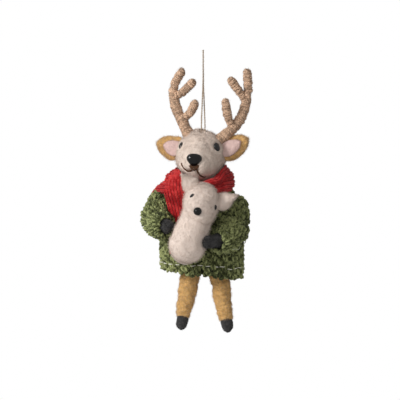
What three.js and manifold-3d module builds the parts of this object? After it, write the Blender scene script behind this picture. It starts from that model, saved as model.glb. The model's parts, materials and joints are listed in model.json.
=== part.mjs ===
// Deer ornament: a felted deer in a chunky knitted sweater and a knitted scarf, holding a felted lamb,
// hung from a loop of twine. Millimetres, +Z up. The deer faces -Y, so its own right side is at -X.
// The origin is inside the bight at the top of the twine loop, where a hook bears.
import * as THREE from "three";
import { mergeVertices } from "three/addons/utils/BufferGeometryUtils.js";
import Module from "manifold-3d";

// Clearance between pieces that touch, clearance of what turns, and one overrun for all cuts.
const SEAT_GAP = 0.3;
const RUNNING_GAP = 0.6;
const CUT_OVERRUN = 2;

// Twine loop, with its two strands side by side at the knot and one behind the other at the top.
// The shares run up one strand: across to the side, across to the front, and down from the bight.
const TWINE_DIAMETER = 1;
const HANGER_DROP = 58.2;
const STRAND_SPACING = 2.5;
const BIGHT_WIDTH = 4.5;
const KNOT_DIAMETER = 3.2;
const KNOT_DEPTH = 2.3;
const KNOT_RIM_RADIUS = 3.1;
const STRAND_SHARES = [
  [1, 0, 1], [1, 0, 0.96], [0.96, 0, 0.89], [0.84, 0.07, 0.8], [0.68, 0.2, 0.71],
  [0.48, 0.33, 0.6], [0.28, 0.42, 0.5], [0.12, 0.49, 0.39], [0.04, 0.53, 0.28], [0, 0.67, 0.178],
  [0, 0.89, 0.098], [0, 1, 0.046], [0, 0.71, 0.008],
];

// Head with its muzzle, turned a little to the deer's right. The figure hangs behind the twine by
// BALANCE_BACK, so that its weight lies right under the knot.
const BALANCE_BACK = 6;
const HEAD_WIDTH = 34.8;
const HEAD_DEPTH = 33;
const HEAD_HEIGHT = 34.8;
const HEAD_SIDE = -1.5;
const HEAD_FORWARD = 2.6;
const HEAD_YAW_DEG = -12;
const HEAD_ROLL_DEG = 3;
const HEAD_TURN_DEG = 15;
const HEAD_BLEND = 7;
const MUZZLE_WIDTH = 26;
const MUZZLE_HEIGHT = 24;
const MUZZLE_DEPTH = 29;
const MUZZLE_REACH = 22.5;
const MUZZLE_DROP = 5.2;

// Face. Places on the head are angles: from the face's middle to the deer's left, and upwards.
const NOSE_WIDTH = 10.6;
const NOSE_HEIGHT = 8.6;
const NOSE_DEPTH = 7;
const NOSE_DEG = [0, -9];
const NOSE_SINK_SHARE = 0.1;
const NOSE_TAPER_SHARE = 0.42;
const EYE_WIDTH = 4.6;
const EYE_HEIGHT = 5.8;
const EYE_BULGE = 1.5;
const EYE_DEG = [54, 21.5];
const MOUTH_THREAD = 0.9;
const MOUTH_RISE_SHARE = 1.3;
const MOUTH_DEG = {
  right: [[-28, -17], [-23, -24], [-15, -29], [-8, -29], [-3, -25]],
  left: [[4, -19], [6, -27], [10, -35], [18, -42], [26, -45]],
};

// Ears: cupped leaves of thick felt, each with a lining.
const EAR_LENGTHS = { right: 17.8, left: 20.8 };
const EAR_WIDTH = 17;
const EAR_THICKNESS = 2.4;
const EAR_CUP = 3.4;
const EAR_LIFT_DEG = 21;
const EAR_LIFT_DIFFERENCE_DEG = 16;
const EAR_BACK_DEG = 14;
const EAR_FACING_DEG = 14;
const EAR_ROOT_DEG = [80, 9];
const LINING_LENGTHS = { right: 11.8, left: 14.8 };
const LINING_WIDTH = 10.6;
const LINING_THICKNESS = 1.1;

// Antlers: wire wrapped in wool, one beam and two tines each.
const ANTLER_HEIGHT = 48;
const ANTLER_SPREAD = 19;
const ANTLER_SWEEP = 7;
const BEAM_DIAMETER = 7.2;
const TINE_DIAMETER = 6;
const WIRE_DIAMETER = 1.2;
const ANTLER_ROOT = 8;
const ANTLER_ROOT_DEG = { right: [-92, 55], left: [84, 41] };
const BEAM_SHARES = [1.22, 1.06, 0.98, 1, 0.92, 0.86, 0.84, 0.8];
const TINE_SHARES = [0.96, 0.9, 1, 0.92];

// Torso and sweater, from the collar down to the hem.
const COLLAR_BELOW_KNOT = 33.4;
const BODY_WIDTH = 59.4;
const BODY_DEPTH = 39;
const BODY_HEIGHT = 65.5;
const BODY_SIDE = -1.2;
const BODY_SQUARENESS = 2.35;
const SWEATER_WALL = 4.2;
const HEM_TILT_DEG = 5.6;
const HEM_CLEARANCE = 8;
const HEM_THREAD = 0.7;
const HEM_THREAD_RISE = 8.2;
const NECK_DIAMETER = 15;
const BODY_WIRE = 1.6;
const NECK_WIRE_SHARE = 0.4;
const TORSO_FLOOR_SHARE = 1.4;

// Arms and sleeves.
const SLEEVE_DIAMETER = 20.4;
const ARM_DIAMETER = 10.4;
const PAW_DIAMETER = 10.2;
const PAW_LENGTH = 15;
const ARM_WIRE_SHARES = [0.05, 0.92];
const SLEEVE_REACH_SHARES = { right: 0.86, left: 0.74 };

// Legs, from the middle of the hip down to the tip of the hoof.
const LEG_LENGTH = 47.4;
const LEG_DIAMETER = 13.4;
const ANKLE_DIAMETER = 9.4;
const HIP_DIAMETER = 10.4;
const HIP_SPACING = 17.4;
const HIP_SIDE = 1;
const HIP_RIM_RISE = 2.6;
const LEG_SPLAY_DEG = 9.8;
const HOOF_DIAMETER = 7.8;
const HOOF_LENGTH = 9.4;
const LEG_WIRE_INSET_SHARE = 0.25;

// Scarf: one knitted strip, wrapped round the neck, with one end in front and one over the shoulder.
const SCARF_THICKNESS = 2.6;
const SCARF_WIDTH = 15.4;
const WRAP_WIDTH = 47;
const WRAP_DEPTH = 42;
const WRAP_HEIGHT = 20;
const FRONT_END_LENGTH = 46;
const FRONT_END_START = 4;
const BACK_END_LENGTH = 40;
const WRAP_BELOW_SHARE = 0.4;
const WRAP_FLARE_LEVEL_SHARE = 0.72;
const SCARF_FOLD_SHARE = 0.25;
const SCARF_CURL_SHARE = 0.6;

// Lamb, held at a slant in front of the sweater.
const LAMB_BODY_WIDTH = 25.4;
const LAMB_HEAD_WIDTH = 25;
const LAMB_DEPTH = 22.6;
const LAMB_NECK_REACH = 31.2;
const LAMB_TILT_DEG = 18.6;
const LAMB_ROLL_DEG = 26;
const LAMB_NOSE_DIAMETER = 5.7;
const LAMB_EYE_LENGTH = 3.6;
const LAMB_EAR_LENGTHS = { right: 12.8, left: 15.4 };
const LAMB_EAR_WIDTH = 12;
const LAMB_EAR_THICKNESS = 3.4;
const LAMB_EAR_CUP = 1.6;
const LAMB_MUZZLE_REACH = 13.4;
const LAMB_MUZZLE_SHARES = [0.36, 0.42, 0.34];
const LAMB_MUZZLE_DROP_SHARE = 0.16;
const LAMB_EYE_SHARE = 0.36;
const LAMB_PLACE_SHARES = [-0.33, -1, 0.665];
const LAMB_NOSE_DEG = [1, -28];
const LAMB_EYES_DEG = { right: [-41, 4], left: [56, 3] };
const LAMB_EARS_DEG = { right: [-80, 34, -11], left: [80, 17.5, -27] };

const wasm = await Module();
wasm.setup();

const WELD = 1e-4;
const rad = THREE.MathUtils.degToRad;
const lerp = THREE.MathUtils.lerp;
const point = (x, y, z) => new THREE.Vector3(x, y, z);

// A closed mesh from rings of points. Each end is closed by a fan round its cap point, or the last
// ring joins the first one when no caps are given. The faces are turned outwards.
function ringMesh(rings, startCap, endCap) {
  const sides = rings[0].length;
  const vertices = rings.flat();
  const faces = [];
  const spans = startCap ? rings.length - 1 : rings.length;
  for (let r = 0; r < spans; r += 1) {
    for (let s = 0; s < sides; s += 1) {
      const a = r * sides + s;
      const b = r * sides + ((s + 1) % sides);
      const c = ((r + 1) % rings.length) * sides + s;
      const d = ((r + 1) % rings.length) * sides + ((s + 1) % sides);
      faces.push(a, c, b, b, c, d);
    }
  }
  if (startCap) {
    const last = (rings.length - 1) * sides;
    for (let s = 0; s < sides; s += 1) {
      faces.push(vertices.length, s, (s + 1) % sides);
      faces.push(vertices.length + 1, last + ((s + 1) % sides), last + s);
    }
    vertices.push(startCap, endCap);
  }
  let volume = 0;
  for (let f = 0; f < faces.length; f += 3) {
    const [a, b, c] = [vertices[faces[f]], vertices[faces[f + 1]], vertices[faces[f + 2]]];
    volume += a.dot(b.clone().cross(c));
  }
  if (volume < 0) faces.reverse();
  const geometry = new THREE.BufferGeometry();
  const places = vertices.flatMap((v) => v.toArray());
  geometry.setAttribute("position", new THREE.Float32BufferAttribute(places, 3));
  geometry.setIndex(faces);
  return geometry;
}

// Geometry to a solid for cutting, and back.
function solid(geometry) {
  const bare = geometry.clone();
  bare.deleteAttribute("normal");
  bare.deleteAttribute("uv");
  const merged = mergeVertices(bare, WELD);
  const vertProperties = new Float32Array(merged.attributes.position.array);
  const triVerts = new Uint32Array(merged.index.array);
  return new wasm.Manifold(new wasm.Mesh({ numProp: 3, vertProperties, triVerts }));
}

function meshOf(body) {
  const { vertProperties, triVerts } = body.getMesh();
  const geometry = new THREE.BufferGeometry();
  geometry.setAttribute("position", new THREE.BufferAttribute(new Float32Array(vertProperties), 3));
  geometry.setIndex(new THREE.BufferAttribute(new Uint32Array(triVerts), 1));
  return geometry;
}

// The first geometry less all the others. Crumbs that a cut leaves beside the main piece are dropped.
function cut(geometry, ...cutters) {
  let body = solid(geometry);
  for (const cutter of cutters) body = body.subtract(solid(cutter));
  const bodies = body.decompose();
  bodies.sort((a, b) => b.volume() - a.volume());
  return meshOf(bodies[0]);
}

function join(...geometries) {
  return meshOf(geometries.map(solid).reduce((sum, body) => sum.add(body)));
}

// Frames along a curve: places with two directions across it that don't twist. The first one starts
// from the front, or from the side if the curve runs nearly front to back there.
const STEEP_SHARE = 0.9;
function framesAlong(curve, shares) {
  const frames = [];
  const start = curve.getTangentAt(shares[0]);
  let across = Math.abs(start.y) < STEEP_SHARE ? point(0, 1, 0) : point(1, 0, 0);
  for (const share of shares) {
    const along = curve.getTangentAt(share);
    across = across.clone().addScaledVector(along, -across.dot(along)).normalize();
    frames.push({ at: curve.getPointAt(share), across, over: along.clone().cross(across) });
  }
  return frames;
}

// A limb along a curve, with its radius from a list of shares of a full radius, round at its ends.
const ROUND_SHARES = [0.08, 0.35, 0.75];
function limb(places, fullRadius, radiusShares, options = {}) {
  const { sides = 10, steps = 8, grow = 0, roundStart = true, roundEnd = true } = options;
  const straight = places.length < 3;
  const curve = straight ? new THREE.LineCurve3(...places) : new THREE.CatmullRomCurve3(places);
  const length = curve.getLength();
  const profile = new THREE.SplineCurve(
    radiusShares.map((share, i) => new THREE.Vector2(i / (radiusShares.length - 1), share)),
  );
  const radiusAt = (share) => fullRadius * profile.getPoint(share).y;
  const startLength = roundStart ? radiusAt(0) / length : 0;
  const endLength = roundEnd ? radiusAt(1) / length : 0;
  const between = Array.from({ length: steps + 1 }, (_, i) => lerp(startLength, 1 - endLength, i / steps));
  const stations = [
    ...(roundStart ? ROUND_SHARES.map((share) => startLength * share) : []),
    ...between,
    ...(roundEnd ? ROUND_SHARES.map((share) => 1 - endLength * share).reverse() : []),
  ];
  const rings = framesAlong(curve, stations).map(({ at, across, over }, i) => {
    const share = stations[i];
    let radius = radiusAt(share);
    if (share < startLength) radius *= Math.sqrt(1 - (1 - share / startLength) ** 2);
    if (share > 1 - endLength) radius *= Math.sqrt(1 - (1 - (1 - share) / endLength) ** 2);
    return Array.from({ length: sides }, (_, k) => {
      const turn = (2 * Math.PI * k) / sides;
      return at.clone().addScaledVector(across, (radius + grow) * Math.cos(turn))
        .addScaledVector(over, (radius + grow) * Math.sin(turn));
    });
  });
  const start = curve.getPointAt(0).addScaledVector(curve.getTangentAt(0), -grow);
  const end = curve.getPointAt(1).addScaledVector(curve.getTangentAt(1), grow);
  return ringMesh(rings, start, end);
}

// A ball whose surface lies at a given distance in each direction from its centre.
function ball(centre, distance, sides, rows) {
  const onSurface = (way) => way.clone().multiplyScalar(distance(way)).add(centre);
  const rings = [];
  for (let row = 1; row < rows; row += 1) {
    const down = (Math.PI * row) / rows;
    rings.push(Array.from({ length: sides }, (_, k) => {
      const turn = (2 * Math.PI * k) / sides;
      const level = Math.sin(down);
      return onSurface(point(level * Math.cos(turn), level * Math.sin(turn), Math.cos(down)));
    }));
  }
  return ringMesh(rings, onSurface(point(0, 0, 1)), onSurface(point(0, 0, -1)));
}

function ellipsoid(centre, [a, b, c], sides, rows, grow = 0) {
  const distance = (d) => 1 / Math.hypot(d.x / (a + grow), d.y / (b + grow), d.z / (c + grow));
  return ball(centre, distance, sides, rows);
}

// How far an ellipsoid round an offset centre reaches along a direction from the origin.
function reachOfOffset(direction, offset, [a, b, c]) {
  const d = direction.clone().divide(point(a, b, c));
  const o = offset.clone().divide(point(a, b, c));
  const half = d.dot(o);
  return (half + Math.sqrt(half * half - d.lengthSq() * (o.lengthSq() - 1))) / d.lengthSq();
}

// Two forms that run softly into each other, and an angle's direction from the middle of a face.
const blended = (a, b) => (a ** HEAD_BLEND + b ** HEAD_BLEND) ** (1 / HEAD_BLEND);
function wayOf(sideDeg, upDeg) {
  const level = Math.cos(rad(upDeg));
  return point(Math.sin(rad(sideDeg)) * level, -Math.cos(rad(sideDeg)) * level, Math.sin(rad(upDeg)));
}

// Felted head: a ball and a muzzle. The direction is in the head's own frame.
const headTurn = new THREE.Quaternion().setFromEuler(
  new THREE.Euler(0, rad(HEAD_ROLL_DEG), rad(HEAD_YAW_DEG), "ZYX"),
);
function headReach(direction) {
  const skull = 1 / Math.hypot(direction.x * 2 / HEAD_WIDTH, direction.y * 2 / HEAD_DEPTH,
    direction.z * 2 / HEAD_HEIGHT);
  const half = [MUZZLE_WIDTH / 2, MUZZLE_DEPTH / 2, MUZZLE_HEIGHT / 2];
  const offset = point(0, -(MUZZLE_REACH - MUZZLE_DEPTH / 2), -MUZZLE_DROP);
  const muzzle = reachOfOffset(direction, offset, half);
  return blended(skull, muzzle);
}
const crownDrop = 1 - Math.sqrt(1 - (HEAD_SIDE * 2 / HEAD_WIDTH) ** 2
  - ((BALANCE_BACK - HEAD_FORWARD) * 2 / HEAD_DEPTH) ** 2);
const headCentre = point(HEAD_SIDE, BALANCE_BACK - HEAD_FORWARD,
  KNOT_DEPTH - HANGER_DROP - HEAD_HEIGHT / 2 * (1 - crownDrop));
const toHead = headTurn.clone().invert();
const headDistance = (direction) => headReach(direction.clone().applyQuaternion(toHead));

// A place on the head by its angles, lifted off the skin.
function onHead([sideDeg, upDeg], lift = 0) {
  const way = wayOf(sideDeg, upDeg).applyQuaternion(headTurn);
  return { at: way.clone().multiplyScalar(headDistance(way) + lift).add(headCentre), way };
}
const HEAD_SIDES = 22;
const HEAD_ROWS = 15;
const headBall = (grow = 0) => ball(headCentre, (d) => headDistance(d) + grow, HEAD_SIDES, HEAD_ROWS);

// The space that the head takes up as it turns on the neck, whose axis runs through its middle.
const neckPivot = point(headCentre.x, headCentre.y, headCentre.z - HEAD_HEIGHT / 2);
const TURN_SHARES = [-1, -0.5, 0, 0.5, 1];
const upright = point(0, 0, 1);
const roomDistance = (direction) => RUNNING_GAP + Math.max(...TURN_SHARES.map(
  (share) => headDistance(direction.clone().applyAxisAngle(upright, rad(share * HEAD_TURN_DEG))),
));
const headRoom = ball(headCentre, roomDistance, HEAD_SIDES, HEAD_ROWS);

// A leaf of felt, cupped along its middle, from its base along one direction and facing another.
const EAR_SHARES = [0.72, 0.92, 1, 0.98, 0.89, 0.72, 0.44, 0.1];
const LAMB_EAR_SHARES = [0.72, 0.94, 1, 0.93, 0.76, 0.5, 0.24, 0.06];
const LEAF_EDGE_SHARE = 0.75;
const middleOf = (ring) => ring.reduce((sum, v) => sum.add(v), point(0, 0, 0)).divideScalar(ring.length);
const betweenMiddles = (rings) => ringMesh(rings, middleOf(rings[0]), middleOf(rings[rings.length - 1]));
function leaf(base, along, facing, size, grow = 0) {
  const sides = 6;
  const steps = size.shares.length - 1;
  const across = facing.clone().cross(along).normalize();
  const face = along.clone().cross(across).normalize();
  const rings = size.shares.map((share, i) => {
    const run = size.length * i / steps;
    const half = size.width / 2 * share;
    const sag = size.cup * share;
    return Array.from({ length: 2 * sides }, (_, k) => {
      const side = k < sides ? lerp(-1, 1, k / (sides - 1)) : lerp(1, -1, (k - sides) / (sides - 1));
      const edge = Math.sqrt(1 - LEAF_EDGE_SHARE * side * side);
      const lift = (k < sides ? -1 : 1) * (size.thickness / 2 * edge + grow);
      return base.clone().addScaledVector(along, run)
        .addScaledVector(across, side * (half + grow))
        .addScaledVector(face, lift + sag * side * side + size.bend * (i / steps) ** 2);
    });
  });
  return betweenMiddles(rings);
}

// Outline of the sweater at a share of its height below the collar, as half width and half depth.
const WIDTH_SHARES = [0.46, 0.66, 0.82, 0.92, 0.97, 1, 1, 0.985];
const DEPTH_SHARES = [0.78, 0.84, 0.89, 0.93, 0.97, 1, 1, 0.97];
const LEVEL_SHARES = [0, 0.05, 0.12, 0.22, 0.4, 0.6, 0.82, 1];
const TORSO_LEVEL_SHARES = [0, 0.05, 0.12, 0.22, 0.4, 0.6, 0.76];
const BODY_REACH_SHARE = 0.96;
const collarZ = -HANGER_DROP - COLLAR_BELOW_KNOT;
const bodyMiddle = point(BODY_SIDE, BALANCE_BACK, collarZ);
const hemSlope = Math.tan(rad(HEM_TILT_DEG));
function shareAt(level, shares) {
  let i = 0;
  while (i < LEVEL_SHARES.length - 2 && level > LEVEL_SHARES[i + 1]) i += 1;
  const run = (level - LEVEL_SHARES[i]) / (LEVEL_SHARES[i + 1] - LEVEL_SHARES[i]);
  return lerp(shares[i], shares[i + 1], THREE.MathUtils.clamp(run, 0, 1));
}
function bodyOutline(level, grow) {
  return {
    a: BODY_WIDTH / 2 * shareAt(level, WIDTH_SHARES) + grow,
    b: BODY_DEPTH / 2 * shareAt(level, DEPTH_SHARES) + grow,
  };
}
function bodyRing(level, grow, sides, drop = 0) {
  const { a, b } = bodyOutline(level, grow);
  return Array.from({ length: sides }, (_, k) => {
    const turn = (2 * Math.PI * k) / sides;
    const [c, s] = [Math.cos(turn), Math.sin(turn)];
    const x = Math.sign(c) * Math.abs(c) ** (2 / BODY_SQUARENESS) * a;
    const y = Math.sign(s) * Math.abs(s) ** (2 / BODY_SQUARENESS) * b;
    const z = collarZ - BODY_HEIGHT * level - drop - hemSlope * x * level;
    return point(bodyMiddle.x + x, bodyMiddle.y + y, z);
  });
}
function bodyFront(x, z) {
  const { a, b } = bodyOutline((collarZ - z) / (BODY_HEIGHT + hemSlope * (x - bodyMiddle.x)), 0);
  const share = Math.min(Math.abs(x - bodyMiddle.x) / a, BODY_REACH_SHARE);
  return bodyMiddle.y - b * (1 - share ** BODY_SQUARENESS) ** (1 / BODY_SQUARENESS);
}
const BODY_SIDES = 26;
function bodyBlock(grow) {
  const rings = LEVEL_SHARES.map((level) => bodyRing(level, grow, BODY_SIDES));
  return ringMesh(rings, point(bodyMiddle.x, bodyMiddle.y, collarZ + grow),
    point(bodyMiddle.x, bodyMiddle.y, collarZ - BODY_HEIGHT - grow));
}

// A place in the body's own measure: half widths, half depths and heights from the collar's middle.
const inBody = ([x, y, z]) => point(
  bodyMiddle.x + x * BODY_WIDTH / 2, bodyMiddle.y + y * BODY_DEPTH / 2, collarZ - z * BODY_HEIGHT,
);

// Hips and legs. A leg hangs along -Z from its hip and is splayed outwards.
const hipZ = collarZ - BODY_HEIGHT + HEM_CLEARANCE;
const hips = { right: -1, left: 1 };
for (const [side, sign] of Object.entries(hips)) {
  const x = HIP_SIDE + sign * HIP_SPACING / 2;
  hips[side] = { sign, at: point(x, BALANCE_BACK, hipZ - hemSlope * (x - HIP_SIDE)) };
}
const SHIN_SHARES = [0.93, 1, 0.96, 0.95, 0.88, 0.86, 0.79];
const HOOF_SHARES = [1, 1.02, 0.94, 0.7];
function legSolid() {
  const ankle = point(0, 0, HOOF_LENGTH - LEG_LENGTH);
  const radii = [HIP_DIAMETER / LEG_DIAMETER, ...SHIN_SHARES, ANKLE_DIAMETER / LEG_DIAMETER];
  const shin = limb([point(0, 0, 0), ankle], LEG_DIAMETER / 2, radii,
    { sides: 12, steps: 10, roundStart: false, roundEnd: false });
  const half = HIP_DIAMETER / 2;
  return join(shin, ellipsoid(point(0, 0, 0), [half, half, half], 12, 8));
}

// Sleeves and arms. Each route runs from the shoulder to the paw.
const ARM_ROUTE_SHARES = {
  right: [
    [-0.74, 0, 0.13], [-0.98, -0.05, 0.24], [-1.08, -0.5, 0.38], [-0.94, -1.1, 0.46], [-0.72, -1.62, 0.475],
  ],
  left: [
    [0.7, 0, 0.15], [0.8, -0.12, 0.32], [0.79, -0.55, 0.49], [0.54, -1.25, 0.61], [-0.02, -1.98, 0.635],
  ],
};
const ARM_SHARES = [1, 1, 0.92, 0.84];
const PAW_SHARES = [0.86, 0.94, 1];
const SLEEVE_SHARES = [0.86, 1, 1, 0.96, 0.9];
const armPlaces = {
  right: ARM_ROUTE_SHARES.right.map(inBody),
  left: ARM_ROUTE_SHARES.left.map(inBody),
};
function partOf(places, from, to, count = 6) {
  const curve = new THREE.CatmullRomCurve3(places);
  return Array.from({ length: count }, (_, i) => curve.getPointAt(lerp(from, to, i / (count - 1))));
}
function armLength(side) {
  return new THREE.CatmullRomCurve3(armPlaces[side]).getLength();
}
function armSolid(side, grow = 0) {
  const wrist = 1 - PAW_LENGTH / armLength(side);
  return limb(partOf(armPlaces[side], 0, wrist), ARM_DIAMETER / 2, ARM_SHARES,
    { sides: 8, steps: 7, grow, roundEnd: false });
}
function pawSolid(side, grow = 0) {
  const wrist = 1 - (PAW_LENGTH - SEAT_GAP) / armLength(side);
  return limb(partOf(armPlaces[side], wrist, 1, 3), PAW_DIAMETER / 2, PAW_SHARES,
    { sides: 10, steps: 4, grow, roundStart: false });
}
function sleeveSolid(side, grow = 0) {
  return limb(partOf(armPlaces[side], 0, SLEEVE_REACH_SHARES[side]), SLEEVE_DIAMETER / 2, SLEEVE_SHARES,
    { sides: 14, steps: 8, grow, roundEnd: false });
}

// Lamb: a body and a head along one slanted axis.
const lambMiddle = inBody(LAMB_PLACE_SHARES).add(point(0, -LAMB_DEPTH / 2, 0));
const lambWay = point(Math.sin(rad(LAMB_TILT_DEG)), 0, Math.cos(rad(LAMB_TILT_DEG)));
const lambHeadMiddle = lambMiddle.clone().addScaledVector(lambWay, LAMB_NECK_REACH);
const lambTurn = new THREE.Quaternion().setFromEuler(new THREE.Euler(0, rad(LAMB_ROLL_DEG), 0));
const toLamb = lambTurn.clone().invert();
function lambHeadReach(direction) {
  const d = direction.clone().applyQuaternion(toLamb);
  const full = [LAMB_HEAD_WIDTH, LAMB_DEPTH, LAMB_HEAD_WIDTH];
  const skull = 1 / Math.hypot(d.x * 2 / full[0], d.y * 2 / full[1], d.z * 2 / full[2]);
  const half = full.map((size, i) => size * LAMB_MUZZLE_SHARES[i]);
  const offset = point(0, half[1] - LAMB_MUZZLE_REACH, -LAMB_HEAD_WIDTH * LAMB_MUZZLE_DROP_SHARE);
  return blended(skull, reachOfOffset(d, offset, half));
}
const lambHeadBall = (grow = 0) => ball(lambHeadMiddle, (d) => lambHeadReach(d) + grow, 20, 14);
const LAMB_BODY_SHARES = [0.97, 1, 0.98, 0.9, 0.86, 0.88];
function lambBodySolid(grow = 0) {
  const foot = lambMiddle.clone().addScaledVector(lambWay, -LAMB_BODY_WIDTH / 2);
  return limb([foot, lambHeadMiddle], LAMB_BODY_WIDTH / 2, LAMB_BODY_SHARES, { sides: 18, steps: 7, grow });
}
function onLamb([sideDeg, upDeg], lift = 0) {
  const way = wayOf(sideDeg, upDeg).applyQuaternion(lambTurn);
  return { at: way.clone().multiplyScalar(lambHeadReach(way) + lift).add(lambHeadMiddle), way };
}

// Scarf round the neck: a tall soft ring with a fold along it, high at the back and low at the front.
const WRAP_TOP_SHARES = [0.36, 0.5, 0.86, 1, 0.98, 0.98, 1, 0.98, 0.94, 0.9, 0.76, 0.44];
const WRAP_FORM_SHARES = [
  [0, 0.1], [0.4, 0], [0.85, 0.04], [1, 0.25], [0.9, 0.52], [1, 0.7], [0.84, 0.96], [0.44, 1], [0.1, 0.85],
];
const wrapBottom = collarZ - WRAP_HEIGHT * WRAP_BELOW_SHARE;
const WRAP_STEPS = 28;
const WRAP_FLARE_SHARES = [0, 0, 0, 0, 0, 0, 0, 0.1, 0.42, 0.64, 0.44, 0.1];
function roundShare(turn, shares) {
  const at = (turn / (2 * Math.PI)) * shares.length;
  const i = Math.floor(at) % shares.length;
  const next = shares[(i + 1) % shares.length];
  return lerp(shares[i], next, THREE.MathUtils.smoothstep(at - Math.floor(at), 0, 1));
}
function wrapSolid(grow = 0) {
  const rings = Array.from({ length: WRAP_STEPS }, (_, k) => {
    const turn = (2 * Math.PI * k) / WRAP_STEPS;
    const way = point(Math.sin(turn), -Math.cos(turn), 0);
    const outer = 1 / Math.hypot(way.x * 2 / WRAP_WIDTH, way.y * 2 / WRAP_DEPTH) + grow;
    const inner = NECK_DIAMETER / 2 + SEAT_GAP - grow;
    const high = WRAP_HEIGHT * roundShare(turn, WRAP_TOP_SHARES) + 2 * grow;
    const flare = roundShare(turn, WRAP_FLARE_SHARES);
    return WRAP_FORM_SHARES.map(([r, z]) => {
      const rim = outer * (1 + flare * (WRAP_FLARE_LEVEL_SHARE - z));
      const level = point(neckPivot.x, neckPivot.y, wrapBottom - grow + high * z);
      return level.addScaledVector(way, lerp(inner, rim, r));
    });
  });
  return ringMesh(rings);
}

// Scarf ends. The front end lies on the sweater, and the back end runs over the shoulder.
const FRONT_END_SHARES = [[-0.6, 0], [-0.58, 0.2], [-0.5, 0.42], [-0.46, 0.64], [-0.5, 0.82], [-0.5, 1]];
function stripMesh(rows) {
  return betweenMiddles(rows.map(({ under, over }) => [...under, ...[...over].reverse()]));
}
const STRIP_SHARES = [-1, -0.6, -0.2, 0.2, 0.6, 1];
function frontEndSolid(grow = 0) {
  const curve = new THREE.SplineCurve(FRONT_END_SHARES.map(([x, z]) => new THREE.Vector2(x, z)));
  const steps = 14;
  const rows = Array.from({ length: steps + 1 }, (_, i) => {
    const { x, y } = curve.getPoint(i / steps);
    const z = collarZ - FRONT_END_START + grow - y * (FRONT_END_LENGTH + 2 * grow);
    const layer = (lift) => STRIP_SHARES.map((v) => {
      const across = bodyMiddle.x + x * BODY_WIDTH / 2 + v * (SCARF_WIDTH / 2 + grow);
      const fold = SCARF_THICKNESS * SCARF_FOLD_SHARE * Math.cos((v + y) * Math.PI);
      return point(across, bodyFront(across, z) - RUNNING_GAP - lift - (lift > 0 ? fold : 0), z);
    });
    return { under: layer(-grow), over: layer(SCARF_THICKNESS + grow) };
  });
  return stripMesh(rows);
}
const BACK_END_SHARES = [
  [-0.62, 0.3, 0.02], [-0.95, 0.42, 0.03], [-1.12, 0.66, 0.12],
  [-1.02, 0.96, 0.28], [-0.86, 1.08, 0.44], [-0.8, 1.12, 0.6],
];
const BACK_END_FACING_SHARES = [0, 0, 0.3];
function backEndSolid(grow = 0) {
  const places = BACK_END_SHARES.map(inBody);
  const curve = new THREE.CatmullRomCurve3(places);
  const steps = 12;
  const reach = Math.min(1, BACK_END_LENGTH / curve.getLength());
  const rows = Array.from({ length: steps + 1 }, (_, i) => {
    const share = reach * i / steps;
    const at = curve.getPointAt(share);
    const along = curve.getTangentAt(share);
    const out = at.clone().sub(inBody(BACK_END_FACING_SHARES)).normalize();
    const across = along.clone().cross(out).normalize();
    const face = across.clone().cross(along).normalize();
    const layer = (lift) => STRIP_SHARES.map((v) => at.clone()
      .addScaledVector(across, v * (SCARF_WIDTH / 2 + grow))
      .addScaledVector(face, lift - SCARF_THICKNESS * SCARF_CURL_SHARE * v * v));
    return { under: layer(-SCARF_THICKNESS / 2 - grow), over: layer(SCARF_THICKNESS / 2 + grow) };
  });
  return stripMesh(rows);
}

// Finishes.
const finish = (color, roughness) => new THREE.MeshStandardMaterial({ color, roughness, metalness: 0 });
const creamFelt = () => finish(0xd6c7bb, 0.95);
const lambFelt = () => finish(0xdccdc0, 0.95);
const ochreFelt = () => finish(0xbb9257, 0.95);
const pinkFelt = () => finish(0xd3b3ac, 0.95);
const darkFelt = () => finish(0x363634, 0.9);
const antlerWool = () => finish(0xaa8f7a, 0.95);
const greenKnit = () => finish(0x727758, 0.95);
const redKnit = () => finish(0x98241f, 0.9);
const glossBlack = () => finish(0x161514, 0.12);
const brownThread = () => finish(0x4a3222, 0.8);
const paleThread = () => finish(0xd8d6c8, 0.8);
const twine = () => finish(0xad9a86, 0.9);
const coreWire = () => {
  const steel = finish(0x8d8f91, 0.4);
  steel.metalness = 1;
  return steel;
};

// A piece is kept in its own frame round its place, and set there by its position in its group.
function addPiece(group, name, geometry, material, place) {
  const local = geometry.clone().translate(-place.x, -place.y, -place.z);
  const mesh = new THREE.Mesh(local, material);
  mesh.name = name;
  mesh.position.copy(place).sub(group.position);
  group.add(mesh);
}

// Hanger: the loop of twine and the knot that the head swings and turns on.
const hanger = new THREE.Group();
function addHanger() {
  const strandLength = HANGER_DROP - KNOT_DIAMETER / 2 - SEAT_GAP;
  const strand = (sign) => STRAND_SHARES.map(([x, y, z]) => point(
    sign * x * STRAND_SPACING / 2, sign * y * BIGHT_WIDTH / 2, -z * strandLength,
  ));
  const bight = point(0, 0, TWINE_DIAMETER / 2);
  const route = new THREE.CatmullRomCurve3([...strand(-1), bight, ...strand(1).reverse()]);
  const sides = 8;
  const section = new THREE.Shape(Array.from({ length: sides }, (_, k) => {
    const turn = (2 * Math.PI * (k + 0.5)) / sides;
    return new THREE.Vector2(TWINE_DIAMETER / 2 * Math.cos(turn), TWINE_DIAMETER / 2 * Math.sin(turn));
  }));
  const loop = new THREE.ExtrudeGeometry(section, { steps: 58, bevelEnabled: false, extrudePath: route });
  addPiece(hanger, "hanger_loop", loop, twine(), point(0, 0, 0));
  const knotAt = point(0, 0, -HANGER_DROP);
  const half = KNOT_DIAMETER / 2;
  addPiece(hanger, "hanger_knot", ellipsoid(knotAt, [half, half, half], 12, 8), twine(), knotAt);
}

// Straight and bent wires, and the bores that hold them.
function wire(places, diameter, grow = 0) {
  const options = { sides: 6, steps: 10, grow, roundStart: false, roundEnd: false };
  return limb(places, diameter / 2, [1, 1], options);
}

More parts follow.
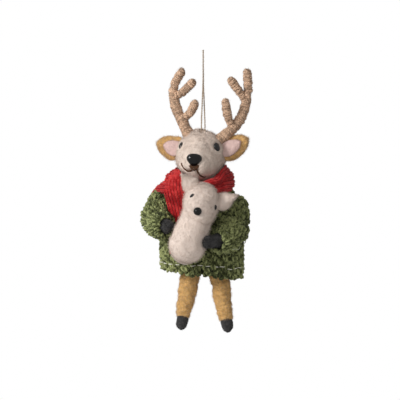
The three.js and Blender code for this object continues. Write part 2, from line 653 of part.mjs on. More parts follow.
// Antlers. The places are shares of the antler's spread and height, from its root on the head.
const ANTLER_SHARES = {
  right: {
    beam: [[0, 0, 0], [-0.16, 0.3, 0.14], [-0.33, 0.7, 0.28], [-0.5, 1, 0.46], [-0.56, 1, 0.62],
      [-0.5, 0.8, 0.74], [-0.34, 0.5, 0.86], [-0.22, 0.3, 0.96]],
    lower: [[-0.26, 0.6, 0.22], [-0.02, 0.25, 0.28], [0.16, 0, 0.37], [0.27, -0.3, 0.49]],
    upper: [[-0.54, 1, 0.56], [-0.28, 0.7, 0.6], [-0.02, 0.4, 0.69], [0.22, 0.1, 0.79]],
  },
  left: {
    beam: [[0, 0, 0], [0.29, 0.3, 0.1], [0.62, 0.7, 0.23], [0.88, 0.95, 0.41], [0.99, 1, 0.59],
      [1.04, 0.85, 0.76], [1.03, 0.5, 0.92], [0.99, 0.3, 1.03]],
    lower: [[0.5, 0.6, 0.18], [0.36, 0.3, 0.28], [0.26, 0.05, 0.41], [0.21, -0.25, 0.59]],
    upper: [[0.99, 1, 0.55], [0.84, 0.8, 0.65], [0.61, 0.5, 0.76], [0.37, 0.2, 0.9]],
  },
};
function antlerPlaces(side, line) {
  const root = onHead(ANTLER_ROOT_DEG[side]).at;
  return ANTLER_SHARES[side][line].map(([x, y, z]) => root.clone()
    .add(point(x * ANTLER_SPREAD, y * ANTLER_SWEEP, z * ANTLER_HEIGHT)));
}
function beamSolid(side, grow = 0) {
  const places = antlerPlaces(side, "beam");
  places[0].lerp(headCentre, ANTLER_ROOT / 2 / HEAD_WIDTH);
  return limb(places, BEAM_DIAMETER / 2, BEAM_SHARES, { sides: 8, steps: 14, grow, roundStart: false });
}
function antlerWirePlaces(side) {
  const places = antlerPlaces(side, "beam");
  const base = places[0].clone().lerp(headCentre, ANTLER_ROOT * 2 / HEAD_WIDTH);
  const top = new THREE.CatmullRomCurve3(places);
  return [base, ...Array.from({ length: 6 }, (_, i) => top.getPointAt(i / 6))];
}

const head = new THREE.Group();
head.position.copy(neckPivot);
const torsoGroup = new THREE.Group();
torsoGroup.position.copy(bodyMiddle);

// The wire core of the neck runs from the chest into the head.
const neckWirePlaces = (extra) => [
  point(neckPivot.x, neckPivot.y, headCentre.z + extra),
  point(neckPivot.x, neckPivot.y, collarZ - BODY_HEIGHT * NECK_WIRE_SHARE - extra),
];

function addHead() {
  const socket = KNOT_DIAMETER / 2 + SEAT_GAP;
  const slope = Math.SQRT1_2 * socket;
  const rim = KNOT_DEPTH + CUT_OVERRUN;
  const funnel = new THREE.LatheGeometry([
    [0, -socket], [slope, -slope], [socket, 0], [KNOT_RIM_RADIUS, KNOT_DEPTH],
    [KNOT_RIM_RADIUS + CUT_OVERRUN, rim], [0, rim],
  ].map(([r, z]) => new THREE.Vector2(r, z)), 16).rotateX(Math.PI / 2).translate(0, 0, -HANGER_DROP);
  const wireBores = ["right", "left"].map((side) => wire(antlerWirePlaces(side), WIRE_DIAMETER, SEAT_GAP));
  const neckBore = wire(neckWirePlaces(SEAT_GAP), BODY_WIRE, SEAT_GAP);
  addPiece(head, "head", cut(headBall(), funnel, ...wireBores, neckBore), creamFelt(), headCentre);
  const skin = headBall(SEAT_GAP);
  addFace(skin);
  addEars(skin);
  addAntlers(skin);
}

function addFace(skin) {
  const nose = onHead(NOSE_DEG, -NOSE_DEPTH * NOSE_SINK_SHARE);
  const noseBall = ball(nose.at, (way) => {
    const own = way.clone().applyQuaternion(toHead);
    const width = NOSE_WIDTH * (1 - NOSE_TAPER_SHARE * Math.max(0, -own.z));
    return 1 / Math.hypot(own.x * 2 / width, own.y * 2 / NOSE_DEPTH, own.z * 2 / NOSE_HEIGHT);
  }, 16, 10);
  addPiece(head, "nose", cut(noseBall, skin), glossBlack(), nose.at);
  for (const [side, sign] of [["right", -1], ["left", 1]]) {
    const eye = onHead([sign * EYE_DEG[0], EYE_DEG[1]]);
    const half = [EYE_WIDTH / 2, EYE_BULGE + SEAT_GAP, EYE_HEIGHT / 2];
    const eyeBall = ellipsoid(point(0, 0, 0), half, 12, 8);
    eyeBall.applyQuaternion(new THREE.Quaternion().setFromUnitVectors(point(0, -1, 0), eye.way));
    eyeBall.translate(eye.at.x, eye.at.y, eye.at.z);
    addPiece(head, `eye_${side}`, cut(eyeBall, skin), glossBlack(), eye.at);
  }
  const mouthLift = (SEAT_GAP + MOUTH_THREAD / 2) * MOUTH_RISE_SHARE;
  const noseRoom = ellipsoid(nose.at, [NOSE_WIDTH / 2, NOSE_DEPTH / 2, NOSE_HEIGHT / 2], 16, 10, SEAT_GAP);
  for (const [side, angles] of Object.entries(MOUTH_DEG)) {
    const places = angles.map((deg) => onHead(deg, mouthLift).at);
    const options = { sides: 5, steps: 8, roundStart: false, roundEnd: false };
    const thread = cut(limb(places, MOUTH_THREAD / 2, [1, 1], options), skin, noseRoom);
    addPiece(head, `mouth_stitch_${side}`, thread, brownThread(), places[2]);
  }
}

function addEars(skin) {
  const back = rad(EAR_BACK_DEG);
  const turn = rad(EAR_FACING_DEG);
  const leafForm = { shares: EAR_SHARES, cup: -EAR_CUP, bend: EAR_CUP / 2 };
  const shellForm = { ...leafForm, width: EAR_WIDTH, thickness: EAR_THICKNESS };
  const liningForm = { ...leafForm, width: LINING_WIDTH, thickness: LINING_THICKNESS };
  const onShell = (EAR_THICKNESS + LINING_THICKNESS) / 2 + SEAT_GAP;
  for (const [side, sign] of [["right", -1], ["left", 1]]) {
    const base = onHead([sign * EAR_ROOT_DEG[0], EAR_ROOT_DEG[1]], -CUT_OVERRUN).at;
    const lift = rad(EAR_LIFT_DEG + sign * EAR_LIFT_DIFFERENCE_DEG / 2);
    const along = point(sign * Math.cos(lift) * Math.cos(back), Math.sin(back), Math.sin(lift)).normalize();
    const facing = point(-sign * Math.sin(turn), -Math.cos(turn), 0);
    along.applyQuaternion(headTurn);
    facing.applyQuaternion(headTurn);
    const face = along.clone().cross(facing.clone().cross(along).normalize()).normalize();
    const outer = { ...shellForm, length: EAR_LENGTHS[side] };
    const inner = { ...liningForm, length: LINING_LENGTHS[side] };
    const antler = beamSolid(side, SEAT_GAP);
    const shell = cut(leaf(base, along, facing, outer), skin, antler);
    const shellRoom = leaf(base, along, facing, outer, SEAT_GAP);
    const lining = leaf(base.clone().addScaledVector(face, onShell), along, facing, inner);
    addPiece(head, `ear_${side}`, shell, ochreFelt(), base);
    addPiece(head, `ear_${side}_lining`, cut(lining, skin, antler, shellRoom), pinkFelt(), base);
  }
}

function addAntlers(skin) {
  for (const side of ["right", "left"]) {
    const root = onHead(ANTLER_ROOT_DEG[side]).at;
    const bore = wire(antlerWirePlaces(side), WIRE_DIAMETER, SEAT_GAP);
    const core = wire(antlerWirePlaces(side), WIRE_DIAMETER);
    addPiece(head, `antler_${side}_beam`, cut(beamSolid(side), skin, bore), antlerWool(), root);
    addPiece(head, `antler_${side}_wire`, core, coreWire(), root);
    const beamRoom = beamSolid(side, SEAT_GAP);
    for (const line of ["lower", "upper"]) {
      const places = antlerPlaces(side, line);
      const tine = limb(places, TINE_DIAMETER / 2, TINE_SHARES, { sides: 8, steps: 6 });
      addPiece(head, `antler_${side}_${line}_tine`, cut(tine, beamRoom), antlerWool(), places[0]);
    }
  }
}

const neckColumn = (grow = 0) => limb(
  [point(neckPivot.x, neckPivot.y, headCentre.z), point(neckPivot.x, neckPivot.y, collarZ - BODY_HEIGHT / 4)],
  NECK_DIAMETER / 2, [1, 1], { sides: 14, steps: 3, roundStart: false, grow },
);

// Torso, with the sweater over it.
function addTorso() {
  const inset = -SWEATER_WALL - RUNNING_GAP;
  const floor = hipZ + HIP_RIM_RISE;
  const rings = TORSO_LEVEL_SHARES.map((level) => bodyRing(level, inset, BODY_SIDES, RUNNING_GAP));
  rings.push(bodyRing(1, inset * TORSO_FLOOR_SHARE, BODY_SIDES).map((v) => v.setZ(floor)));
  const top = point(bodyMiddle.x, bodyMiddle.y, collarZ - RUNNING_GAP);
  const trunk = ringMesh(rings, top, point(bodyMiddle.x, bodyMiddle.y, floor));
  const neckBore = wire(neckWirePlaces(SEAT_GAP), BODY_WIRE, SEAT_GAP);
  const armRoots = ["right", "left"].map((side) => armSolid(side, SEAT_GAP));
  const socket = HIP_DIAMETER / 2 + RUNNING_GAP;
  const sockets = Object.values(hips).map((hip) => ellipsoid(hip.at, [socket, socket, socket], 12, 8));
  const torso = cut(join(trunk, neckColumn()), headRoom, neckBore, ...armRoots, ...sockets);
  addPiece(torsoGroup, "torso", torso, creamFelt(), bodyMiddle);
  addPiece(torsoGroup, "neck_wire", wire(neckWirePlaces(0), BODY_WIRE), coreWire(), bodyMiddle);
}

function addSweater() {
  const outside = LEVEL_SHARES.map((level) => bodyRing(level, 0, BODY_SIDES));
  const inside = [...LEVEL_SHARES].reverse().map((level) => bodyRing(level, -SWEATER_WALL, BODY_SIDES));
  const shell = ringMesh([...outside, ...inside]);
  const arms = ["right", "left"].map((side) => armSolid(side, SEAT_GAP));
  addPiece(torsoGroup, "sweater_body", cut(shell, ...arms, neckColumn(SEAT_GAP)), greenKnit(), bodyMiddle);
  const threadLevel = 1 - HEM_THREAD_RISE / BODY_HEIGHT;
  const offset = SEAT_GAP + HEM_THREAD / 2;
  const ring = bodyRing(threadLevel, offset, BODY_SIDES);
  const threadRings = ring.map((v) => {
    const way = v.clone().sub(bodyMiddle).setZ(0).normalize();
    const sides = 5;
    return Array.from({ length: sides }, (_, k) => {
      const turn = (2 * Math.PI * k) / sides;
      return v.clone().addScaledVector(way, HEM_THREAD / 2 * Math.cos(turn))
        .add(point(0, 0, HEM_THREAD / 2 * Math.sin(turn)));
    });
  });
  addPiece(torsoGroup, "hem_thread", ringMesh(threadRings), paleThread(), bodyMiddle);
}

function armWire(side, grow = 0) {
  const extra = grow / armLength(side);
  const [from, to] = ARM_WIRE_SHARES;
  return wire(partOf(armPlaces[side], from - extra, to + extra, 8), WIRE_DIAMETER, grow);
}

function addArms() {
  const bodyRoom = bodyBlock(SEAT_GAP);
  const others = [frontEndSolid(SEAT_GAP), lambBodySolid(SEAT_GAP), lambHeadBall(SEAT_GAP), bodyRoom];
  for (const side of ["right", "left"]) {
    const [shoulder] = armPlaces[side];
    const bore = armWire(side, SEAT_GAP);
    const armRoom = armSolid(side, SEAT_GAP);
    const paw = cut(pawSolid(side), bore, armRoom, ...others);
    const sleeve = cut(sleeveSolid(side), armRoom, pawSolid(side, SEAT_GAP), ...others);
    addPiece(torsoGroup, `arm_${side}_wire`, armWire(side), coreWire(), shoulder);
    addPiece(torsoGroup, `arm_${side}`, cut(armSolid(side), bore), ochreFelt(), shoulder);
    addPiece(torsoGroup, `paw_${side}`, paw, darkFelt(), shoulder);
    addPiece(torsoGroup, `sweater_sleeve_${side}`, sleeve, greenKnit(), shoulder);
  }
}

function addScarf() {
  const bodyRoom = bodyBlock(SEAT_GAP);
  const wrapRoom = wrapSolid(SEAT_GAP);
  const sleeves = ["right", "left"].map((side) => sleeveSolid(side, SEAT_GAP));
  const wrap = cut(wrapSolid(), bodyRoom, headRoom, neckColumn(SEAT_GAP), ...sleeves, lambHeadBall(SEAT_GAP));
  const front = cut(frontEndSolid(), wrapRoom, headRoom, bodyRoom);
  const back = cut(backEndSolid(), wrapRoom, bodyRoom, ...sleeves, headRoom);
  addPiece(torsoGroup, "scarf_wrap", wrap, redKnit(), neckPivot);
  addPiece(torsoGroup, "scarf_front_end", front, redKnit(), neckPivot);
  addPiece(torsoGroup, "scarf_back_end", back, redKnit(), neckPivot);
}

function addLamb() {
  const skin = lambHeadBall(SEAT_GAP);
  const wires = ["right", "left"].map((side) => armWire(side, SEAT_GAP));
  const others = [bodyBlock(SEAT_GAP), frontEndSolid(SEAT_GAP), headRoom, ...wires];
  const trunk = cut(lambBodySolid(), skin, ...others);
  addPiece(torsoGroup, "lamb_head", cut(lambHeadBall(), ...others), lambFelt(), lambHeadMiddle);
  addPiece(torsoGroup, "lamb_body", trunk, lambFelt(), lambMiddle);
  const nose = onLamb(LAMB_NOSE_DEG).at;
  const half = LAMB_NOSE_DIAMETER / 2;
  const bead = cut(ellipsoid(nose, [half, half, half], 14, 10), skin);
  addPiece(torsoGroup, "lamb_nose", bead, glossBlack(), nose);
  const eyeHalf = [LAMB_EYE_LENGTH * LAMB_EYE_SHARE, LAMB_EYE_LENGTH * LAMB_EYE_SHARE, LAMB_EYE_LENGTH / 2];
  const leafForm = { shares: LAMB_EAR_SHARES, cup: -LAMB_EAR_CUP, bend: 0 };
  const earForm = { ...leafForm, width: LAMB_EAR_WIDTH, thickness: LAMB_EAR_THICKNESS };
  for (const side of ["right", "left"]) {
    const eye = onLamb(LAMB_EYES_DEG[side]).at;
    addPiece(torsoGroup, `lamb_eye_${side}`, cut(ellipsoid(eye, eyeHalf, 10, 8), skin), glossBlack(), eye);
    const [sideDeg, upDeg, turnDeg] = LAMB_EARS_DEG[side];
    const base = onLamb([sideDeg, upDeg], -CUT_OVERRUN);
    const along = base.way.clone().setY(0).normalize().applyAxisAngle(point(0, 1, 0), rad(turnDeg));
    const size = { ...earForm, length: LAMB_EAR_LENGTHS[side] };
    const ear = cut(leaf(base.at, along, point(0, -1, 0), size), skin, wrapSolid(SEAT_GAP), ...others);
    addPiece(torsoGroup, `lamb_ear_${side}`, ear, lambFelt(), base.at);
  }
}

// Legs. The hoof and the core wire swing with the leg.
function legGroup(side) {
  const hip = hips[side];
  const group = new THREE.Group();
  group.position.copy(hip.at);
  group.rotation.y = -hip.sign * rad(LEG_SPLAY_DEG);
  const ends = (extra) => [
    point(0, 0, HIP_DIAMETER * LEG_WIRE_INSET_SHARE + extra),
    point(0, 0, HOOF_LENGTH / 2 - LEG_LENGTH - extra),
  ];
  const bore = wire([point(0, 0, HIP_DIAMETER), ends(SEAT_GAP)[1]], WIRE_DIAMETER, SEAT_GAP);
  const ankle = point(0, 0, HOOF_LENGTH - LEG_LENGTH - SEAT_GAP);
  const tip = point(0, 0, -LEG_LENGTH);
  const hoof = limb([ankle, tip], HOOF_DIAMETER / 2, HOOF_SHARES, { sides: 12, steps: 4, roundStart: false });
  const pieces = [
    [`leg_${side}`, cut(legSolid(), bore), ochreFelt()],
    [`hoof_${side}`, cut(hoof, bore), darkFelt()],
    [`leg_${side}_wire`, wire(ends(0), WIRE_DIAMETER), coreWire()],
  ];
  for (const [name, geometry, material] of pieces) {
    const mesh = new THREE.Mesh(geometry, material);
    mesh.name = name;
    group.add(mesh);
  }
  return group;
}

addHanger();
addHead();
addTorso();
addSweater();
addArms();
addScarf();
addLamb();

const ornament = new THREE.Group();
ornament.name = "deer_ornament";
ornament.add(hanger, head, torsoGroup, legGroup("right"), legGroup("left"));
ornament.updateMatrixWorld(true);
export default ornament;
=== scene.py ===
"""Looks of the deer ornament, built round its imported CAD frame.

A felted deer in a chunky knitted sweater and a knitted scarf holds a felted lamb, and hangs from a loop
of twine. Shapes are worked out in millimetres, in the frame's own axes: +Z up, the deer faces -Y, and its
own right side is at -X. Each piece is put into its mesh in metres.
"""

import json
from typing import NamedTuple

import bpy
import numpy as np
from bpy.props import FloatProperty, FloatVectorProperty, PointerProperty
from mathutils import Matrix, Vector


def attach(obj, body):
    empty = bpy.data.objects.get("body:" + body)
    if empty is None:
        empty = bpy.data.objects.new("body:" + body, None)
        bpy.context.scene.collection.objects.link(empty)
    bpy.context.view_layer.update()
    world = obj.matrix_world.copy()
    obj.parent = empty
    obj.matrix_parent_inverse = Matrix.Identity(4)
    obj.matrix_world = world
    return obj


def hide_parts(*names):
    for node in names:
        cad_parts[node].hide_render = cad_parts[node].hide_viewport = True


bl_info = {
    "name": "Deer Ornament",
    "version": (1, 0, 0),
    "blender": (4, 5, 0),
    "location": "3D View > Sidebar > Ornament",
    "description": "Felted deer in a knitted sweater and scarf, holding a felted lamb",
    "category": "Add Mesh",
}

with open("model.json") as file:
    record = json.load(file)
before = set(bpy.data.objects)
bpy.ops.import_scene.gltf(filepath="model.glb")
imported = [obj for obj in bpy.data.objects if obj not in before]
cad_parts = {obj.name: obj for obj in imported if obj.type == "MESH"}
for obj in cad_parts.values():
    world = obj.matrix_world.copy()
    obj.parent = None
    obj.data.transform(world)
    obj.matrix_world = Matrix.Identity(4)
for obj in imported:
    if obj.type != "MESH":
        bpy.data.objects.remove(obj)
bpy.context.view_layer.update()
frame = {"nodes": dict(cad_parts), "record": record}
MM = 0.001
TAU = 2 * np.pi
UP = np.array([0, 0, 1.0])
SIGNS = {"right": -1, "left": 1}
RECORD_COLOURS = {m["slot"]: m["base_color"][:3] for m in frame["record"]["materials"]}


# Numbers and curves

def unit(v):
    """Vectors over their lengths."""
    return v / np.maximum(np.linalg.norm(v, axis=-1, keepdims=True), 1e-12)


def distance(points, place):
    """How far points are from one place."""
    return np.linalg.norm(points - place, axis=-1)


def hill(x, width, power=2):
    """1 at 0, falling off on both sides over about a width."""
    return np.exp(-(x / width) ** power)


def eased(x, stations, values):
    """A smooth curve through values at stations: cubic pieces with the slopes between neighbours."""
    stations, values = np.asarray(stations, float), np.asarray(values, float)
    slopes = np.gradient(values, stations)
    i = np.clip(np.searchsorted(stations, x, side="right") - 1, 0, len(stations) - 2)
    run = stations[i + 1] - stations[i]
    t = np.clip((x - stations[i]) / run, 0, 1)
    start, end = (1 + 2 * t) * (1 - t) ** 2, t * t * (3 - 2 * t)
    return (start * values[i] + end * values[i + 1]
            + run * (t * (1 - t) ** 2 * slopes[i] - t * t * (1 - t) * slopes[i + 1]))


def even(values):
    """Stations from 0 to 1, one for each value."""
    return np.linspace(0, 1, len(values))


def rise(x, low, high):
    """0 below low, 1 above high, and a soft S between them."""
    t = np.clip((x - low) / (high - low), 0, 1)
    return t * t * (3 - 2 * t)


def lumps(points, size, seed, waves=12):
    """Soft lumps of about one size, from about -1 to 1: sine waves in seeded directions, added."""
    rng = np.random.default_rng(seed)
    ways = unit(rng.normal(size=(waves, 3))) * (TAU / (size * rng.uniform(1.4, 3, (waves, 1))))
    return np.sin(points @ ways.T + rng.uniform(0, TAU, waves)).sum(-1) / 3.5


def turned(yaw, roll):
    """Rotation by roll degrees about Y, then by yaw degrees about Z."""
    z, y = np.radians(yaw), np.radians(roll)
    about_z = np.array([[np.cos(z), -np.sin(z), 0], [np.sin(z), np.cos(z), 0], [0, 0, 1]])
    about_y = np.array([[np.cos(y), 0, np.sin(y)], [0, 1, 0], [-np.sin(y), 0, np.cos(y)]])
    return about_z @ about_y


def way_of(side, up):
    """Direction at degrees from the middle of a face: towards the deer's left, and upwards."""
    side, up = np.radians(side), np.radians(up)
    return np.stack([np.sin(side) * np.cos(up), -np.cos(side) * np.cos(up), np.sin(up)], -1)


def line_length(line):
    """The sum of a line's steps."""
    return np.linalg.norm(np.diff(line, axis=0), axis=1).sum()


def line_through(places, count, low=0.0, high=1.0, fineness=60):
    """Evenly spaced points on a centripetal Catmull-Rom line through places, between two shares of it."""
    p = np.asarray(places, float)
    if len(p) == 2:
        return p[0] + (p[1] - p[0]) * np.linspace(low, high, count)[:, None]
    p = np.concatenate([[2 * p[0] - p[1]], p, [2 * p[-1] - p[-2]]])
    gap = np.sqrt(np.linalg.norm(np.diff(p, axis=0), axis=1))[:, None]
    before, here, after = gap[:-2], gap[1:-1], gap[2:]
    a, b, c, d = p[:-3], p[1:-2], p[2:-1], p[3:]
    leave = ((b - a) / before - (c - a) / (before + here) + (c - b) / here) * here
    arrive = ((c - b) / here - (d - b) / (here + after) + (d - c) / after) * here
    t = np.linspace(0, 1, fineness, endpoint=False)[None, :, None]
    b, c, leave, arrive = (v[:, None] for v in (b, c, leave, arrive))
    fine = b + leave * t + (3 * (c - b) - 2 * leave - arrive) * t**2 + (2 * (b - c) + leave + arrive) * t**3
    fine = np.concatenate([fine.reshape(-1, 3), p[-2:-1]])
    return evenly(fine, count, low, high)


def evenly(line, count, low=0.0, high=1.0):
    """The same line again, as points evenly spaced by length between two shares of it."""
    run = np.concatenate([[0], np.cumsum(np.linalg.norm(np.diff(line, axis=0), axis=1))])
    at = np.linspace(low, high, count) * run[-1]
    return np.stack([np.interp(at, run, line[:, k]) for k in range(3)], -1)


def frames_along(line):
    """Directions along a line and two across it, which don't twist. The first one starts from the front."""
    along = unit(np.gradient(line, axis=0))
    across = np.empty_like(along)
    way = np.array([0.0, 1, 0]) if abs(along[0, 1]) < 0.9 else np.array([1.0, 0, 0])
    for i, tangent in enumerate(along):
        way = unit(way - tangent * (tangent @ way))
        across[i] = way
    return along, across, np.cross(along, across)


def nearest_on(points, line):
    """Distance from each point to a line of closely spaced points."""
    return np.sqrt(((points[..., None, :] - line) ** 2).sum(-1).min(-1))


def two_strands(wind, first, second):
    """Ways out from a line to two strands that wind round it, half a turn apart."""
    return [np.cos(wind + start)[..., None] * first + np.sin(wind + start)[..., None] * second
            for start in (0, np.pi)]


# Meshes

def grid_faces(rows, columns, close_rows=False):
    """Four-cornered faces of a grid of points, joined round its columns, and round its rows where asked."""
    r = np.arange(rows if close_rows else rows - 1)[:, None]
    c = np.arange(columns)[None]
    below, beside = (r + 1) % rows, (c + 1) % columns
    corners = [r * columns + c, below * columns + c, below * columns + beside, r * columns + beside]
    return np.stack(np.broadcast_arrays(*corners), -1).reshape(-1, 4)


def skin(grid):
    """A closed surface over rings of points, with each end closed by a fan round the middle of its ring."""
    rows, columns = grid.shape[:2]
    points = np.concatenate([grid.reshape(-1, 3), [grid[0].mean(0)], [grid[-1].mean(0)]])
    ring = np.arange(columns)
    after, total = (ring + 1) % columns, rows * columns
    last = total - columns
    fans = [np.stack([np.full(columns, total), ring, after], -1),
            np.stack([np.full(columns, total + 1), last + after, last + ring], -1)]
    return points, [grid_faces(rows, columns), np.concatenate(fans)]


def closed_ring(grid):
    """A closed surface over a grid whose rows and columns both run round, as on a ring or a wall."""
    return grid.reshape(-1, 3), [grid_faces(*grid.shape[:2], close_rows=True)]


def tubes(lines, normals, radius, sides=6, closed=False):
    """Round tubes along lines of points. At each point a ring of the given radius lies square to the line,
    and its first corner is at the side, a quarter turn from the normal. Open ends get a cap of one fan."""
    count, steps = lines.shape[:2]
    if closed:
        along = unit(np.roll(lines, -1, 1) - np.roll(lines, 1, 1))
    else:
        along = unit(np.gradient(lines, axis=1))
    side = unit(np.cross(along, normals))
    up = np.cross(side, along)
    turn = (TAU * np.arange(sides) / sides)[:, None]
    ring = np.cos(turn) * side[:, :, None] + np.sin(turn) * up[:, :, None]
    radius = np.broadcast_to(np.asarray(radius, float), (count, steps))[..., None, None]
    points = (lines[:, :, None] + radius * ring).reshape(-1, 3)
    start = (np.arange(count) * steps * sides)[:, None, None]
    faces = [(start + grid_faces(steps, sides, close_rows=closed)).reshape(-1, 4)]
    r, c = np.meshgrid(np.arange(steps if closed else steps - 1), np.arange(sides), indexing="ij")
    v = np.stack([r, r + 1, r + 1, r], -1) * (line_length(lines[0]) / (steps - 1))
    u = np.stack([c, c, c + 1, c + 1], -1) / sides
    uv = [np.tile(np.stack([u, v], -1).reshape(-1, 4, 2), (count, 1, 1))]
    if not closed:
        centre = (len(points) + np.arange(2 * count))[:, None].repeat(sides, 1)
        points = np.concatenate([points, lines[:, 0], lines[:, -1]])
        first = start[:, 0] + np.arange(sides)
        last = first + (steps - 1) * sides
        fans = [np.stack([centre[:count], first, np.roll(first, -1, 1)], -1),
                np.stack([centre[count:], np.roll(last, -1, 1), last], -1)]
        faces.append(np.concatenate(fans).reshape(-1, 3))
        uv.append(np.zeros((2 * count * sides, 3, 2)))
    return points, faces, uv


def joined(parts):
    """Several surfaces, each points and faces, as one."""
    start, all_points, quads, fans = 0, [], [], []
    for points, faces, *_ in parts:
        all_points.append(points)
        for face in faces:
            (quads if face.shape[1] == 4 else fans).append(face + start)
        start += len(points)
    return np.concatenate(all_points), [np.concatenate(f) for f in (quads, fans) if f]


def outwards(points, faces):
    """Whether faces point outwards: the volume that they enclose is then positive."""
    volume = 0.0
    for face in faces:
        a = points[face[:, 0]]
        for k in range(1, face.shape[1] - 1):
            volume += (a * np.cross(points[face[:, k]], points[face[:, k + 1]])).sum()
    return volume >= 0


def surface_samples(surface):
    """Points of a surface and the directions that it faces there, from its four-cornered faces."""
    points, faces = surface[0], surface[1][0]
    a, b, c, d = (points[faces[:, k]] for k in range(4))
    facing = unit(np.cross(c - a, d - b))
    if not outwards(points, surface[1]):
        facing = -facing
    return (a + b + c + d) / 4, facing


MATERIALS = {}


def put_piece(name, surface, body, finish, stands_for=(), tone=None):
    """Puts a surface, in millimetres, into a new mesh object that rides on a body, in metres. Its slot is the
    finish's own."""
    points, faces, *rest = surface
    uv = rest[0] if rest else None
    if not outwards(points, faces):
        faces = [face[:, ::-1] for face in faces]
        uv = [part[:, ::-1] for part in uv] if uv else None
    corners = np.concatenate([face.ravel() for face in faces]).astype(np.int32)
    sizes = np.concatenate([np.full(len(face), face.shape[1]) for face in faces])
    starts = np.concatenate([[0], np.cumsum(sizes)[:-1]]).astype(np.int32)
    mesh = bpy.data.meshes.new(name)
    mesh.vertices.add(len(points))
    mesh.vertices.foreach_set("co", (points * MM).astype(np.float32).ravel())
    mesh.loops.add(len(corners))
    mesh.loops.foreach_set("vertex_index", corners)
    mesh.polygons.add(len(sizes))
    mesh.polygons.foreach_set("loop_start", starts)
    mesh.polygons.foreach_set("use_smooth", np.ones(len(sizes), bool))
    if uv:
        layer = mesh.uv_layers.new(name="UVMap")
        flat = np.concatenate([part.reshape(-1, 2) for part in uv])
        layer.uv.foreach_set("vector", flat.astype(np.float32).ravel())
    if tone is not None:
        attribute = mesh.attributes.new("tone", "FLOAT", "POINT")
        tone = np.broadcast_to(np.asarray(tone, np.float32), len(points))
        attribute.data.foreach_set("value", np.ascontiguousarray(tone))
    mesh.update(calc_edges=True)
    mesh.materials.append(MATERIALS[finish])
    piece = bpy.data.objects.new(name, mesh)
    bpy.context.scene.collection.objects.link(piece)
    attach(piece, body)
    if stands_for:
        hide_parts(*stands_for)
    return piece


class Fibres(NamedTuple):
    """Loose fibres: how many, their length and thickness in millimetres, their seed, and the least and most
    degrees that they stand off the skin. The head's lengths are in shares of the panel's fuzz length."""

    count: int
    length: float
    thickness: float
    seed: int
    lie: tuple


FIBRES = {
    "twine_hairs": Fibres(700, 1.3, 0.07, 6, (10, 60)),
    "head_fuzz": Fibres(10800, 1.0, 0.08, 21, (3, 26)),
    "head_halo": Fibres(6400, 1.1, 0.11, 21, (30, 85)),
    "chin_wisps": Fibres(90, 3.2, 0.09, 24, (2, 30)),
    "ear_fuzz": Fibres(3000, 2.1, 0.085, 51, (3, 48)),
    "ear_lining_fuzz": Fibres(1500, 1.5, 0.07, 55, (3, 35)),
    "beam_fuzz": Fibres(1700, 1.7, 0.075, 1, (4, 45)),
    "tine_fuzz": Fibres(750, 1.7, 0.075, 1, (4, 45)),
    "paw_fuzz": Fibres(2700, 2.4, 0.12, 73, (10, 65)),
    "sweater_fuzz": Fibres(5400, 2.2, 0.06, 83, (5, 55)),
    "sleeve_fuzz": Fibres(2400, 2.2, 0.06, 93, (5, 55)),
    "scarf_wrap_fuzz": Fibres(2600, 1.2, 0.05, 103, (5, 50)),
    "scarf_front_fuzz": Fibres(900, 1.2, 0.05, 107, (5, 50)),
    "scarf_back_fuzz": Fibres(900, 1.2, 0.05, 107, (5, 50)),
    "lamb_trunk_fuzz": Fibres(6400, 2.2, 0.065, 113, (3, 32)),
    "lamb_head_fuzz": Fibres(5400, 2.2, 0.065, 113, (3, 32)),
    "lamb_trunk_halo": Fibres(5200, 2.8, 0.12, 115, (35, 85)),
    "lamb_head_halo": Fibres(5200, 2.8, 0.12, 115, (35, 85)),
    "lamb_ear_fuzz": Fibres(2600, 2.2, 0.075, 133, (3, 55)),
    "leg_fuzz": Fibres(5200, 2.1, 0.1, 145, (4, 50)),
    "hoof_fuzz": Fibres(1800, 1.5, 0.08, 149, (3, 40)),
}
FIBRE_ROOT = 0.12
FIBRE_CURL = 0.3
FIBRE_DROOP = 0.35
FIBRE_CORNERS = 7


